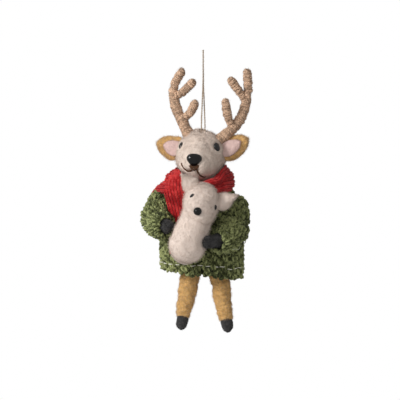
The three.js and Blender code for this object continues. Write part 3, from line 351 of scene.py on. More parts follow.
def fuzz(name, samples, body, finish, kind=None, comb=(0, 0, 0), slot=None, step=0, longer=1.0):
    """Short wool fibres on a skin's samples. Each starts just inside a seeded place, leaves at its lie's
    degrees off the skin, a seeded way or more along the comb's way, curls to one side, and tapers to a
    point: two rings of three corners and a tip. A piece's side isn't part of its kind's name."""
    count, length, thickness, seed, lie = FIBRES[kind or name.removesuffix("_right").removesuffix("_left")]
    points, normals = samples
    rng = np.random.default_rng(seed + step)
    pick = rng.integers(0, len(points), count)
    at, out = points[pick], normals[pick]
    way = unit(rng.normal(size=(count, 3))) + np.asarray(comb, float)
    tangent = unit(way - (way * out).sum(-1, keepdims=True) * out)
    sideways = np.cross(out, tangent)
    angle = np.radians(rng.uniform(*lie, count))[:, None]
    long = (length * longer * rng.uniform(0.5, 1.25, count))[:, None]
    curl = rng.normal(0, FIBRE_CURL, count)[:, None]
    share = np.array([0, 0.5, 1])[None, :, None]
    run = long[:, None] * share
    line = (at[:, None] - FIBRE_ROOT * out[:, None]
            + run * (np.cos(angle) * tangent + np.sin(angle) * out)[:, None]
            + (curl * long)[:, None] * share**2 * sideways[:, None]
            - (FIBRE_DROOP * long * np.sin(angle))[:, None] * share**2 * out[:, None])
    turn = (TAU * np.arange(3) / 3)[:, None]
    around = np.cos(turn) * sideways[:, None, None] + np.sin(turn) * out[:, None, None]
    thick = (thickness / 2 * rng.uniform(0.7, 1.3, count))[:, None, None, None]
    rings = line[:, :2, None] + thick * np.array([1, 0.85])[None, :, None, None] * around
    every = np.concatenate([rings.reshape(count, 6, 3), line[:, 2:]], 1).reshape(-1, 3)
    start = (np.arange(count) * FIBRE_CORNERS)[:, None, None]
    walls = (start + grid_faces(2, 3)).reshape(-1, 4)
    ends = (start + np.array([[0, 1, 2], [6, 4, 3], [6, 5, 4], [6, 3, 5]])).reshape(-1, 3)
    tone = np.repeat(rng.uniform(0, 1, count), FIBRE_CORNERS)
    return put_piece(name, (every, [walls, ends]), body, finish, tone=tone)


def felted(name, surface, body, wool, stands_for, **fuzz_values):
    """A felt skin, name_felt_side, in a wool, and its loose fibres, name_fuzz_side."""
    put_piece(name, surface, body, f"{wool}_felt", stands_for)
    return fuzz(name.replace("felt", "fuzz"), surface_samples(surface), body, f"{wool}_fibre", **fuzz_values)


# Materials

def colour(rgb):
    """A colour written as display bytes, as linear values."""
    c = np.asarray(rgb, float) / 255
    return (*np.where(c <= 0.04045, c / 12.92, ((c + 0.055) / 1.055) ** 2.4), 1.0)


def colours(*every):
    """Several colours written as display bytes."""
    return [colour(rgb) for rgb in every]


def shades(rgb, *factors):
    """A colour made lighter or darker by factors."""
    return [(*np.clip(np.array(rgb) * f, 0, 1), 1.0) for f in factors]


class Nodes:
    """A material's node tree, with short ways to add its nodes."""

    def __init__(self, name, roughness, sheen=0.0, specular=0.3):
        self.name = name
        self.material = bpy.data.materials.new(name)
        self.material.use_nodes = True
        self.tree = self.material.node_tree
        self.shader = self.tree.nodes["Principled BSDF"]
        self.shader.inputs["Roughness"].default_value = roughness
        self.shader.inputs["Specular IOR Level"].default_value = specular
        if sheen:
            self.shader.inputs["Sheen Weight"].default_value = sheen
            self.shader.inputs["Sheen Roughness"].default_value = 0.45

    def add(self, kind, **values):
        """Adds a node and sets its properties and, by name, its inputs."""
        node = self.tree.nodes.new(kind)
        for key, value in values.items():
            target = key.replace("_", " ")
            if hasattr(node, key):
                setattr(node, key, value)
            elif isinstance(value, bpy.types.NodeSocket):
                self.tree.links.new(value, node.inputs[target])
            else:
                node.inputs[target].default_value = value
        return node

    def link(self, out, into):
        """Joins an output to an input."""
        self.tree.links.new(out, into)

    def place(self, source="Object", scale=(1, 1, 1), turn=(0, 0, 0)):
        """Coordinates of the piece, stretched and turned."""
        coordinates = self.add("ShaderNodeTexCoord")
        mapping = self.add("ShaderNodeMapping", Vector=coordinates.outputs[source])
        mapping.inputs["Scale"].default_value = scale
        mapping.inputs["Rotation"].default_value = turn
        return mapping.outputs["Vector"]

    def noise(self, place, scale, detail=3.0, roughness=0.55):
        """Cloudy values, at a scale in clouds a metre."""
        node = self.add("ShaderNodeTexNoise", Vector=place, Scale=scale, Detail=detail, Roughness=roughness)
        return node.outputs["Fac"]

    def tone(self):
        """The piece's own tone attribute."""
        return self.add("ShaderNodeAttribute", attribute_name="tone").outputs["Fac"]

    def ramp(self, value, stops):
        """Colours at shares of a value."""
        node = self.add("ShaderNodeValToRGB", Fac=value)
        for i, (share, rgba) in enumerate(stops):
            stop = node.color_ramp.elements[i] if i < 2 else node.color_ramp.elements.new(share)
            stop.position, stop.color = share, rgba
        return node.outputs["Color"]

    def sum(self, *shares):
        """Values times their weights, added."""
        total = None
        for value, weight in shares:
            node = self.add("ShaderNodeMath", operation="MULTIPLY_ADD")
            self.link(value, node.inputs[0])
            node.inputs[1].default_value = weight
            if total is None:
                node.inputs[2].default_value = 0
            else:
                self.link(total, node.inputs[2])
            total = node.outputs["Value"]
        return total

    def finish(self, base, height, depth):
        """Sends the colour to the shader, and the height as a bump of the given depth in millimetres."""
        self.link(base, self.shader.inputs["Base Color"])
        bump = self.add("ShaderNodeBump", Height=height, Strength=1, Distance=depth * MM)
        self.link(bump.outputs["Normal"], self.shader.inputs["Normal"])
        MATERIALS[self.name] = self.material


def felt(name, tones, sheen=0.12, depth=0.22, blotch=110.0, streak=0.25, spread=0.16):
    """Needle felt: mottled from three tones by blotches about a centimetre wide, fine tufts and faint
    upright fibre streaks, matt, with a fine woolly bump of hollows and fibres."""
    n = Nodes(name, 0.95, sheen, 0.15)
    place = n.place()
    blotches, tufts = n.noise(place, blotch, 3), n.noise(place, 950.0, 5, 0.7)
    streaks = n.noise(n.place(scale=(1300, 1300, 210)), 1.0, 4, 0.65)
    amount = n.sum((blotches, 0.5), (tufts, 0.5 - streak / 2), (streaks, streak))
    base = n.ramp(amount, [(0.5 - spread, tones[0]), (0.5 + spread, tones[2]), (0.5, tones[1])])
    fine = n.noise(place, 2600.0, 5, 0.75)
    n.finish(base, n.sum((fine, 0.6), (tufts, 0.9), (streaks, 0.5)), 1.5 * depth)


def yarn(name, tones, ply=0.9, depth=0.16, sheen=0.15, fleck=0.35, blotch=60.0, spread=1.0):
    """Spun yarn: its tone attribute and soft blotches pick from four tones, fine flecks and fibres that run
    along it break them up, and plies wind round it as slanting ridges in its own map. On knitted pieces the
    tone attribute also carries painted light and shade by the yarn's lift. The plies make the colour a little
    lighter on their ridges and darker in the grooves between them, as painted light and shade."""
    n = Nodes(name, 0.92, sheen, 0.2)
    tone, place = n.tone(), n.place()
    flecks, blotches = n.noise(place, 1500.0, 4, 0.75), n.noise(place, blotch, 2)
    parts = n.add("ShaderNodeSeparateXYZ", Vector=n.place("UV"))
    slant = n.sum((parts.outputs["X"], 2 * TAU), (parts.outputs["Y"], TAU / ply))
    plies = n.add("ShaderNodeMath", operation="SINE")
    n.link(slant, plies.inputs[0])
    plies = plies.outputs["Value"]
    hairs = n.noise(n.place("UV", scale=(15, 0.55, 1), turn=(0, 0, 0.12)), 1.0, 3, 0.7)
    # The plies' small share here is painted light on their ridges and painted shade in their grooves.
    amount = n.sum((tone, 0.42), (flecks, fleck / 2), (hairs, fleck / 2), (blotches, 0.53 - fleck / 2),
                   (plies, 0.05))
    base = n.ramp(amount, [(0.5 + spread * (stop - 0.5), tones[k]) for stop, k in
                           ((0.24, 0), (0.74, 3), (0.4, 1), (0.56, 2))])
    n.finish(base, n.sum((plies, 0.3), (flecks, 0.5), (hairs, 1.0)), depth)


def fibre(name, tones, sheen=0.1):
    """Loose wool fibre: one of two tones by its tone attribute, with a little change along it."""
    n = Nodes(name, 0.9, sheen, 0.2)
    tone, change = n.tone(), n.noise(n.place(), 700.0, 2)
    n.finish(n.ramp(n.sum((tone, 0.7), (change, 0.3)), [(0.15, tones[0]), (0.85, tones[1])]), change, 0.02)


def bead(name, roughness, gloss):
    """Glossy black bead or moulded nose: near-black with a faint warm cloud, and finely uneven."""
    n = Nodes(name, roughness, 0.0, gloss)
    place = n.place()
    cloud, dust = n.noise(place, 420.0, 3), n.noise(place, 2400.0, 3)
    base = n.ramp(cloud, [(0.3, colour((5, 5, 5))), (0.75, colour((15, 14, 13)))])
    n.finish(base, n.sum((dust, 0.4), (cloud, 0.4)), 0.02)


def steel(name):
    """Drawn armature wire: grey metal with fine lines along it."""
    n = Nodes(name, 0.38, 0.0, 0.5)
    n.shader.inputs["Metallic"].default_value = 1
    lines = n.noise(n.place(scale=(2600, 2600, 120)), 1.0, 3)
    n.finish(n.ramp(lines, [(0.3, colour((118, 120, 122))), (0.7, colour((168, 170, 172)))]), lines, 0.02)


def make_materials():
    """All the finishes, from the colours in the panel. Each one puts itself into MATERIALS."""
    c = bpy.context.scene.deer_colours
    felt("cream_felt", shades(c.cream_felt, 0.76, 1, 1.2), streak=0.4)
    felt("lamb_felt", shades(c.lamb_felt, 0.86, 1, 1.08), depth=0.12)
    felt("ochre_felt", shades(np.array(c.ochre_felt) * [1, 1.02, 1.12], 0.6, 1, 1.45), depth=0.3,
         blotch=400.0, spread=0.15)
    felt("pink_felt", shades(c.pink_felt, 0.66, 1, 1.16), spread=0.12)
    felt("dark_felt", shades(c.dark_felt, 0.45, 1, 1.35), depth=0.3, blotch=240.0, spread=0.12)
    # Painted shade: a very dark green for the walls under the stitches, seen in the gaps between them.
    felt("green_painted_shade_base", colours((18, 21, 12), (28, 32, 18), (42, 47, 29)), sheen=0.0)
    felt("red_base", colours((92, 8, 13), (112, 12, 17), (132, 18, 23)), sheen=0.0)
    yarn("antler_yarn", shades(np.array(c.antler_wool) * [1, 0.98, 0.94], 0.52, 0.96, 1.42, 2.1), ply=1.3,
         depth=0.5, fleck=0.44, blotch=560.0, spread=0.56)
    yarn("green_yarn", colours((17, 20, 10), (48, 53, 29), (86, 92, 55), (154, 160, 108)), ply=1.6,
         depth=0.34, fleck=0.5, sheen=0.03)
    yarn("red_yarn", colours((98, 9, 14), (138, 16, 21), (168, 24, 28), (204, 60, 58)), ply=1.2, depth=0.14,
         fleck=0.36)
    yarn("brown_thread", shades(c.brown_thread, 0.45, 0.9, 1.5, 2.6), ply=0.9, depth=0.06)
    yarn("pale_thread", shades(c.pale_thread, 0.6, 0.85, 1.0, 1.15), ply=1.0, depth=0.05)
    yarn("jute", shades(c.twine, 0.4, 0.66, 0.9, 1.25), ply=1.6, depth=0.1, fleck=0.5, sheen=0.05)
    fibre("cream_fibre", shades(c.cream_felt, 0.9, 1.22))
    fibre("lamb_fibre", shades(c.lamb_felt, 0.9, 1.2))
    fibre("ochre_fibre", colours((158, 112, 66), (240, 216, 176)))
    fibre("pink_fibre", shades(c.pink_felt, 0.9, 1.2))
    fibre("dark_fibre", shades(c.dark_felt, 0.8, 3.4))
    fibre("antler_fibre", shades(c.antler_wool, 0.6, 1.6))
    fibre("green_fibre", colours((84, 94, 58), (188, 194, 160)))
    fibre("red_fibre", colours((140, 20, 26), (206, 80, 76)))
    fibre("brown_fibre", colours((112, 62, 44), (168, 104, 78)))
    bead("black_bead", 0.13, 0.2)
    bead("eye_bead", 0.3, 0.3)
    steel("core_wire")


# The deer's head: its measures, its outline and places on it

KNOT_AT = np.array([0, 0, -58.2])
HEAD_SIZE = np.array([34.8, 33, 34.8])
HEAD_MIDDLE = np.array([-1.5, 3.4, -72.86])
HEAD_TURN = turned(-12, 3)
HEAD_TURNS = (-15, -7.5, 0, 7.5, 15)
MUZZLE_HALF = np.array([13, 14.5, 12])
MUZZLE_AT = np.array([0, -8, -5.2])
NECK_AT = np.array([-1.5, 3.4, -90.26])
SOFTNESS = 7


def reach_of(way, half, offset=(0, 0, 0)):
    """How far an ellipsoid round an offset middle reaches along directions from the origin."""
    d, o = way / half, np.asarray(offset) / half
    inner = d @ o
    length = (d * d).sum(-1)
    return (inner + np.sqrt(inner**2 - length * (o @ o - 1))) / length


def run_together(a, b):
    """Two reaches that run softly into each other: a root of the sum of their powers."""
    return (a**SOFTNESS + b**SOFTNESS) ** (1 / SOFTNESS)


def head_reach(way):
    """The head's outline: a skull and a muzzle, along directions in the world's axes."""
    own = way @ HEAD_TURN
    return run_together(reach_of(own, HEAD_SIZE / 2), reach_of(own, MUZZLE_HALF, MUZZLE_AT))


def on_head(side, up, lift=0.0):
    """A place on the head by its angles, and the direction to it."""
    way = way_of(side, up) @ HEAD_TURN.T
    return HEAD_MIDDLE + way * (head_reach(way) + lift)[..., None], way


def head_room(way):
    """The space that the head takes up as it turns either way on the neck."""
    return np.max([head_reach(way @ turned(degrees, 0).T) for degrees in HEAD_TURNS], 0)


def directions(rows, columns):
    """Directions on rings from the top to the bottom."""
    down = (np.pi * (np.arange(rows) + 0.5) / rows)[:, None]
    turn = (TAU * np.arange(columns) / columns)[None]
    parts = np.broadcast_arrays(np.sin(down) * np.cos(turn), np.sin(down) * np.sin(turn), np.cos(down))
    return np.stack(parts, -1)


def kept_clear(points, middle, room, gap):
    """Points moved straight out from a middle to where they clear the room round it by a gap."""
    way = unit(points - middle)
    return middle + way * np.maximum(distance(points, middle), room(way) + gap)[..., None]


# Limbs and the sweater's form: each gives places and the directions that they face

def limb(places, full, shares, low=0.0, high=1.0, round_start=True, round_end=True, steps=400):
    """A form along a curve. Its radius is full times a smooth curve through shares, and falls as a quarter
    circle at a round end, to nothing or to a rim. Returns its place function and its outline's length."""
    line = line_through(places, steps, low, high)
    along, across, over = frames_along(line)
    run = np.linspace(0, line_length(line), steps)
    radii = full * eased(run / run[-1], even(shares), shares)
    if round_start:
        radii = radii * np.sqrt(1 - np.clip(1 - run / radii[0], 0, 1) ** 2)
    if round_end:
        rim = 0.0 if round_end is True else round_end
        bend = radii[-1] - rim
        fall = np.sqrt(1 - np.clip(1 - (run[-1] - run) / bend, 0, 1) ** 2)
        radii = np.where(run[-1] - run < bend, rim + (radii - rim) * fall, radii)
    outline = np.concatenate([[0], np.cumsum(np.hypot(np.diff(run), np.diff(radii)))])
    outline += np.arange(steps) * 1e-9
    slopes = [radii, np.gradient(run, outline), np.gradient(radii, outline)]
    table = np.concatenate([line, along, across, over, np.stack(slopes, -1)], -1)

    def place(u, v, lift=0.0):
        u, v, lift = np.broadcast_arrays(u, v, lift)
        t = np.stack([np.interp(v, outline, table[:, k]) for k in range(table.shape[1])], -1)
        at, ahead, side, up = (t[..., k:k + 3] for k in (0, 3, 6, 9))
        radius, run_slope, radius_slope = (t[..., k:k + 1] for k in (12, 13, 14))
        turn = TAU * u[..., None]
        spoke = np.cos(turn) * side + np.sin(turn) * up
        facing = unit(run_slope * spoke - radius_slope * ahead)
        return at + radius * spoke + lift[..., None] * facing, facing

    return place, outline[-1]


def lifted(bare, u, v, lift, du, dv):
    """Places on a surface, raised off it, and the directions that it faces: square to its slopes over two
    small steps."""
    u, v, lift = np.broadcast_arrays(*(np.asarray(a, float) for a in (u, v, lift)))
    facing = unit(np.cross(bare(u, v + dv) - bare(u, v - dv), bare(u + du, v) - bare(u - du, v)))
    return bare(u, v) + lift[..., None] * facing, facing


COLLAR_Z = -91.6
BODY_SIZE = np.array([59.4, 39, 65.5])
BODY_MIDDLE = np.array([-1.2, 6, COLLAR_Z])
HEM_SLOPE = np.tan(np.radians(5.6))
HEM_FOLD = 2.1
HEM_FOLD_AT = 0.748
HEM_CORNERS = {"right": 1.7, "left": 2.2}
SQUARENESS = 2.35
LEVELS = [0, 0.05, 0.12, 0.22, 0.4, 0.6, 0.82, 1]
WIDTHS = [0.46, 0.66, 0.82, 0.92, 0.97, 1, 1, 0.985]
DEPTHS = [0.78, 0.84, 0.89, 0.93, 0.97, 1, 1, 0.97]


def in_body(x, y, z):
    """A place in the body's own measure: half widths, half depths and heights from the collar's middle."""
    return BODY_MIDDLE + np.array([x, y, -z]) * BODY_SIZE / [2, 2, 1]


def body_half(level):
    """Half width and half depth of the body at a share of its height."""
    return BODY_SIZE[0] / 2 * eased(level, LEVELS, WIDTHS), BODY_SIZE[1] / 2 * eased(level, LEVELS, DEPTHS)


def oval(turn, a, b):
    """Reach of a squarish oval along a turn."""
    wide, deep = np.abs(np.cos(turn) / a), np.abs(np.sin(turn) / b)
    return (wide**SQUARENESS + deep**SQUARENESS) ** (-1 / SQUARENESS)


def body_tables():
    """Level by length down the body's outline, and turn by share of the way round."""
    level = np.linspace(0, 1, 600)
    a, b = body_half(level)
    steps = np.hypot(np.diff(level) * BODY_SIZE[2], (np.diff(a) + np.diff(b)) / 2)
    run = np.concatenate([[0], np.cumsum(steps)])
    turn = np.linspace(0, TAU, 2000)
    r = oval(turn, *body_half(0.6))
    x, y = r * np.cos(turn), r * np.sin(turn)
    around = np.concatenate([[0], np.cumsum(np.hypot(np.diff(x), np.diff(y)))])
    return level, run, turn, around / around[-1]


BODY_LEVELS, BODY_RUN, BODY_TURNS, BODY_AROUND = body_tables()
BODY_LONG = BODY_RUN[-1]


def body_place(u, v, lift=0.0):
    """The sweater's form at a share round it and a length down from the collar: squarish ovals, with soft
    waves, a fold at the hem's front, and an uneven hem that is drawn up at its two corners."""
    def bare(u, v):
        level = np.interp(v, BODY_RUN, BODY_LEVELS) + np.maximum(v - BODY_LONG, 0) / BODY_SIZE[2]
        turn = np.interp(u % 1, BODY_AROUND, BODY_TURNS)
        r = oval(turn, *body_half(np.minimum(level, 1)))
        fold = hill((u % 1) - HEM_FOLD_AT, 0.011) * rise(level, 0.78, 0.96)
        wave = 0.55 * np.sin(TAU * 5 * u + 1.3) + 0.45 * np.sin(TAU * 8 * u + 0.4)
        r = r + (0.7 * wave * rise(level, 0.6, 1) - HEM_FOLD * fold)
        x, y = r * np.cos(turn), r * np.sin(turn)
        far = x / BODY_SIZE[0] * 2
        corner = HEM_CORNERS["right"] * rise(-far, 0.5, 1) + HEM_CORNERS["left"] * rise(far, 0.76, 1)
        waver = 0.4 * np.sin(TAU * 7 * u + 2) + 0.4 * np.sin(TAU * 16 * u)
        z = COLLAR_Z - BODY_SIZE[2] * level - HEM_SLOPE * x * level - rise(level, 0.8, 1) * (waver - corner)
        return np.stack([BODY_MIDDLE[0] + x, BODY_MIDDLE[1] + y, z], -1)
    return lifted(bare, u, v, lift, 4e-4, 0.2)


ARM_ROUTES = {
    "right": [(-0.74, 0, 0.13), (-0.98, -0.05, 0.24), (-1.08, -0.5, 0.38), (-0.94, -1.1, 0.46),
              (-0.72, -1.62, 0.475)],
    "left": [(0.7, 0, 0.15), (0.8, -0.12, 0.32), (0.79, -0.55, 0.49), (0.54, -1.25, 0.61),
             (-0.02, -1.98, 0.635)],
}


def arm_line(side, low=0, high=1, count=400):
    """The arm's middle line from the shoulder to the paw's end, between two shares of it."""
    return line_through([in_body(*p) for p in ARM_ROUTES[side]], count, low, high)


def arm_length(side):
    """Length of the whole arm's middle line."""
    return line_length(arm_line(side))


# The lamb: its measures and outline

LAMB_LEAN = np.radians(18.6)
LAMB_WAY = np.array([np.sin(LAMB_LEAN), 0, np.cos(LAMB_LEAN)])
LAMB_MIDDLE = in_body(-0.33, -1, 0.665) - [0, 11.3, 0]
LAMB_RUN = 31.2
LAMB_RADIUS = 12.7
LAMB_ROOM, LAMB_ROOM_FALL = 12.4, 1.5
LAMB_HEAD = LAMB_MIDDLE + LAMB_RUN * LAMB_WAY
LAMB_TURN = turned(0, 26)
LAMB_NOSE_DEG = (1, -28)
LAMB_EYES = {"right": (-41, 4), "left": (56, 3)}
LAMB_EYE_LEANS = {"right": 42, "left": -8}
LAMB_EARS = {"right": (-80, 34, -11, 12.8), "left": (80, 17.5, -31, 15.4)}
LAMB_SIZE = np.array([25, 22.6, 25])
LAMB_MUZZLE_HALF = LAMB_SIZE * [0.36, 0.42, 0.34]
LAMB_MUZZLE_AT = np.array([0, LAMB_MUZZLE_HALF[1] - 13.4, -4])


def lamb_reach(way):
    """The lamb's head: a ball and a short muzzle."""
    own = way @ LAMB_TURN
    return run_together(reach_of(own, LAMB_SIZE / 2), reach_of(own, LAMB_MUZZLE_HALF, LAMB_MUZZLE_AT))


def on_lamb(side, up, lift=0.0):
    """A place on the lamb's head by its angles, and the direction to it."""
    way = way_of(side, up) @ LAMB_TURN.T
    return LAMB_HEAD + way * (lamb_reach(way) + lift)[..., None], way


def clear_of_lamb(points, gap):
    """Points moved out of the lamb's trunk and head, square to the trunk's axis and out from the head. The
    trunk's room falls softly towards the head."""
    from_foot = points - LAMB_MIDDLE
    run = np.clip(from_foot @ LAMB_WAY, 0, LAMB_RUN)[..., None]
    spoke = from_foot - run * LAMB_WAY
    far = np.linalg.norm(spoke, axis=-1, keepdims=True)
    need = LAMB_ROOM - LAMB_ROOM_FALL * rise(run, 12, 26) + gap
    points = LAMB_MIDDLE + run * LAMB_WAY + unit(spoke) * np.maximum(far, need)
    return kept_clear(points, LAMB_HEAD, lamb_reach, gap)


# Knitting

class Stitch(NamedTuple):
    """A kind of stitch: the points of its line, its sideways swing and the drawing together of its legs in
    columns, its height in courses, its depth in millimetres, and how uneven it is across, up and out."""

    points: int
    swing: float
    draw: float
    loop: float
    depth: float
    across: float
    up: float
    out: float


MOSS = Stitch(14, 0.17, 0, 0.84, 1.3, 0.08, 0.11, 0.16)
PLAIN = Stitch(8, 0.2, 0.075, 0.95, 0.36, 0.02, 0.05, 0.1)
# The last of these is painted light and shade, by how far the yarn stands out or sinks in.
TONE_MIDDLE, TONE_SLOW, TONE_STITCH, LIFT_PAINTED_SHADE = 0.46, 0.26, 0.2, 0.2
YARN_UNEVEN = 0.08


def knit(place, columns, rows, top, course, width, kind, seed, low=0.0, high=1.0, base=0.0):
    """Rows of stitches as one yarn each. Along a stitch the yarn's phase t runs from 0 to a full turn: it
    goes sideways by t with a swing of sin 2t, which narrows the loop's neck, and down by the loop times
    cos t. In plain knitting its depth is -cos 2t, legs in front, and the two legs of a V are drawn together
    by sin t, so that columns of stitches stand apart as ribs. In moss stitch it is a mix of sines of half
    turns, whose sign changes with each stitch and row, so that bumps and hollows alternate."""
    moss = kind is MOSS
    rng = np.random.default_rng(seed)
    t = TAU * np.arange(kind.points) / kind.points
    row, stitch, phase = np.meshgrid(np.arange(rows), np.arange(columns), t, indexing="ij")
    share = phase / TAU
    soft = rise(share, 0, 1)

    def uneven(size):
        """Seeded differences between stitches, run softly into each other."""
        each = rng.normal(0, size, (rows, columns + 1))
        if moss:
            each[:, -1] = each[:, 0]
        return each[:, :-1, None] * (1 - soft) + each[:, 1:, None] * soft

    across = stitch + share + kind.swing * np.sin(2 * phase) - kind.draw * np.sin(phase) + uneven(kind.across)
    u = low + (high - low) * across / columns
    v = top + (row + 0.5 + kind.loop * np.cos(phase) + uneven(kind.up)) * course
    if moss:
        sign = np.where((row + stitch) % 2 == 0, 1.0, -1.0)
        form = 0.42 * np.sin(phase / 2) - 0.2 * np.sin(1.5 * phase) - 0.62 * np.sin(2.5 * phase)
        lift = kind.depth * (sign * form + uneven(kind.out))
    else:
        lift = kind.depth * (uneven(kind.out) - np.cos(2 * phase))
    u, v, lift = (a.reshape(rows, -1) for a in (u, v, lift))
    at, facing = place(u, v, lift + base)
    slow = np.cumsum(rng.normal(0, 1, u.shape), 1)
    slow = (slow - slow.mean(1, keepdims=True)) / (np.abs(slow).max(1, keepdims=True) + 1)
    tone = TONE_MIDDLE + TONE_SLOW * slow + uneven(TONE_STITCH).reshape(rows, -1)
    # Painted light and shade: yarn that stands out of the face is made lighter, and yarn that sinks into it
    # darker, by its lift.
    tone = np.clip(tone + LIFT_PAINTED_SHADE * lift / kind.depth, 0, 1)
    return at, facing, width / 2 * (1 + uneven(YARN_UNEVEN).reshape(rows, -1)), tone


def plies(lines, normals, radius, pitch):
    """The two plies of a closed yarn, as lines that wind round it half a turn apart, whole times over."""
    ends = np.roll(lines, -1, 1)
    step = np.linalg.norm(ends - lines, axis=-1)
    run = np.cumsum(step, 1) - step
    total = step.sum(1, keepdims=True)
    along = unit(ends - np.roll(lines, 1, 1) + 1e-9)
    side = unit(np.cross(along, normals))
    wind = TAU * np.round(total / pitch) * run / total
    return [lines + 0.5 * radius[..., None] * out for out in two_strands(wind, side, np.cross(side, along))]


def knitted(name, part, sides, finish, stands_for=(), closed=True, shade=0.0):
    """The yarns of one knitted face, as one piece."""
    at, facing, radius, tone = part
    tone = np.repeat(np.clip(tone + shade, 0, 1).reshape(-1), sides)
    if not closed:
        tone = np.concatenate([tone, np.full(2 * len(at), 0.5)])
    return put_piece(name, tubes(at, facing, radius, sides, closed), "torso", finish, stands_for, tone)


PLY_PITCH = 6.2
LIGHT_PLY, DARK_PLY = 0.6, 0.58
LIGHT_SHADE, DARK_SHADE = 0.17, -0.16


def moss_knitted(name, part, node):
    """Chunky moss stitch in a yarn of two plies, a lighter one and a darker one, as two pieces."""
    at, facing, radius, tone = part
    light, dark = plies(at, facing, radius, PLY_PITCH)
    knitted(f"{name}_knit", (light, facing, LIGHT_PLY * radius, tone), 6, "green_yarn", [node],
            shade=LIGHT_SHADE)
    knitted(f"{name}_ply", (dark, facing, DARK_PLY * radius, tone), 6, "green_yarn", shade=DARK_SHADE)


def yarn_samples(part, proud, every=1):
    """Places just over a knitted face, one in every few, for its loose fibres."""
    at, facing, *_ = part
    pick = slice(None, None, every)
    return (at + proud * facing).reshape(-1, 3)[pick], facing.reshape(-1, 3)[pick]


# The panel's values

def size(label, words, value, low, high):
    """A length property, in metres."""
    return FloatProperty(name=label, description=words, default=value, min=low, max=high, precision=4,
                         unit="LENGTH")


def wool(slot):
    """A colour property that starts at the record's colour."""
    return FloatVectorProperty(name=slot.replace("_", " ").capitalize(), subtype="COLOR", size=3, min=0.0,
                               max=1.0, default=RECORD_COLOURS[slot],
                               description="Middle tone of this finish")


class DeerSizes(bpy.types.PropertyGroup):
    """Sizes that a maker would choose"""

    sweater_yarn: size("Sweater yarn", "Diameter of the sweater's yarn", 0.0024, 0.0005, 0.004)
    sweater_course: size("Sweater row", "Height of one row of the sweater", 0.0033, 0.001, 0.006)
    scarf_yarn: size("Scarf yarn", "Diameter of the scarf's yarn", 0.00105, 0.0004, 0.003)
    antler_yarn: size("Antler yarn", "Diameter of the yarn wound on the antlers", 0.0012, 0.0005, 0.003)
    fuzz_length: size("Fuzz", "Length of the loose wool fibres", 0.0026, 0.0, 0.006)


class DeerColours(bpy.types.PropertyGroup):
    """Colours of the wools, threads and twine"""

    cream_felt: wool("cream_felt")
    lamb_felt: wool("lamb_felt")
    ochre_felt: wool("ochre_felt")
    pink_felt: wool("pink_felt")
    dark_felt: wool("dark_felt")
    antler_wool: wool("antler_wool")
    pale_thread: wool("pale_thread")
    brown_thread: wool("brown_thread")
    twine: wool("twine")


# The stage

CAMERA_AT = Vector((-2.24, -2000, -104.2))
CAMERA_LENS, CAMERA_SENSOR, CAMERA_REACH = 257.14, 36, 20
LAMPS_FACE = Vector((0, 0, -0.11))
LAMPS = {
    "key": ((-0.96, -0.64, 0.36), 0.36, 12.8),
    "front": ((-0.25, -1.2, 0.1), 0.9, 3.5),
    "top": ((-0.2, 0.15, 0.9), 0.9, 1.0),
}
STUDIO_LIGHT, STUDIO_COLOUR = 0.3, (1, 0.985, 0.96, 1)
FLOOR_RADIUS, FLOOR_Y, FLOOR_Z, FLOOR_CORNERS = 240, -10, -262, 96
FLOOR_FADE, FLOOR_GLOW = (0.29, 0.348), 0.45


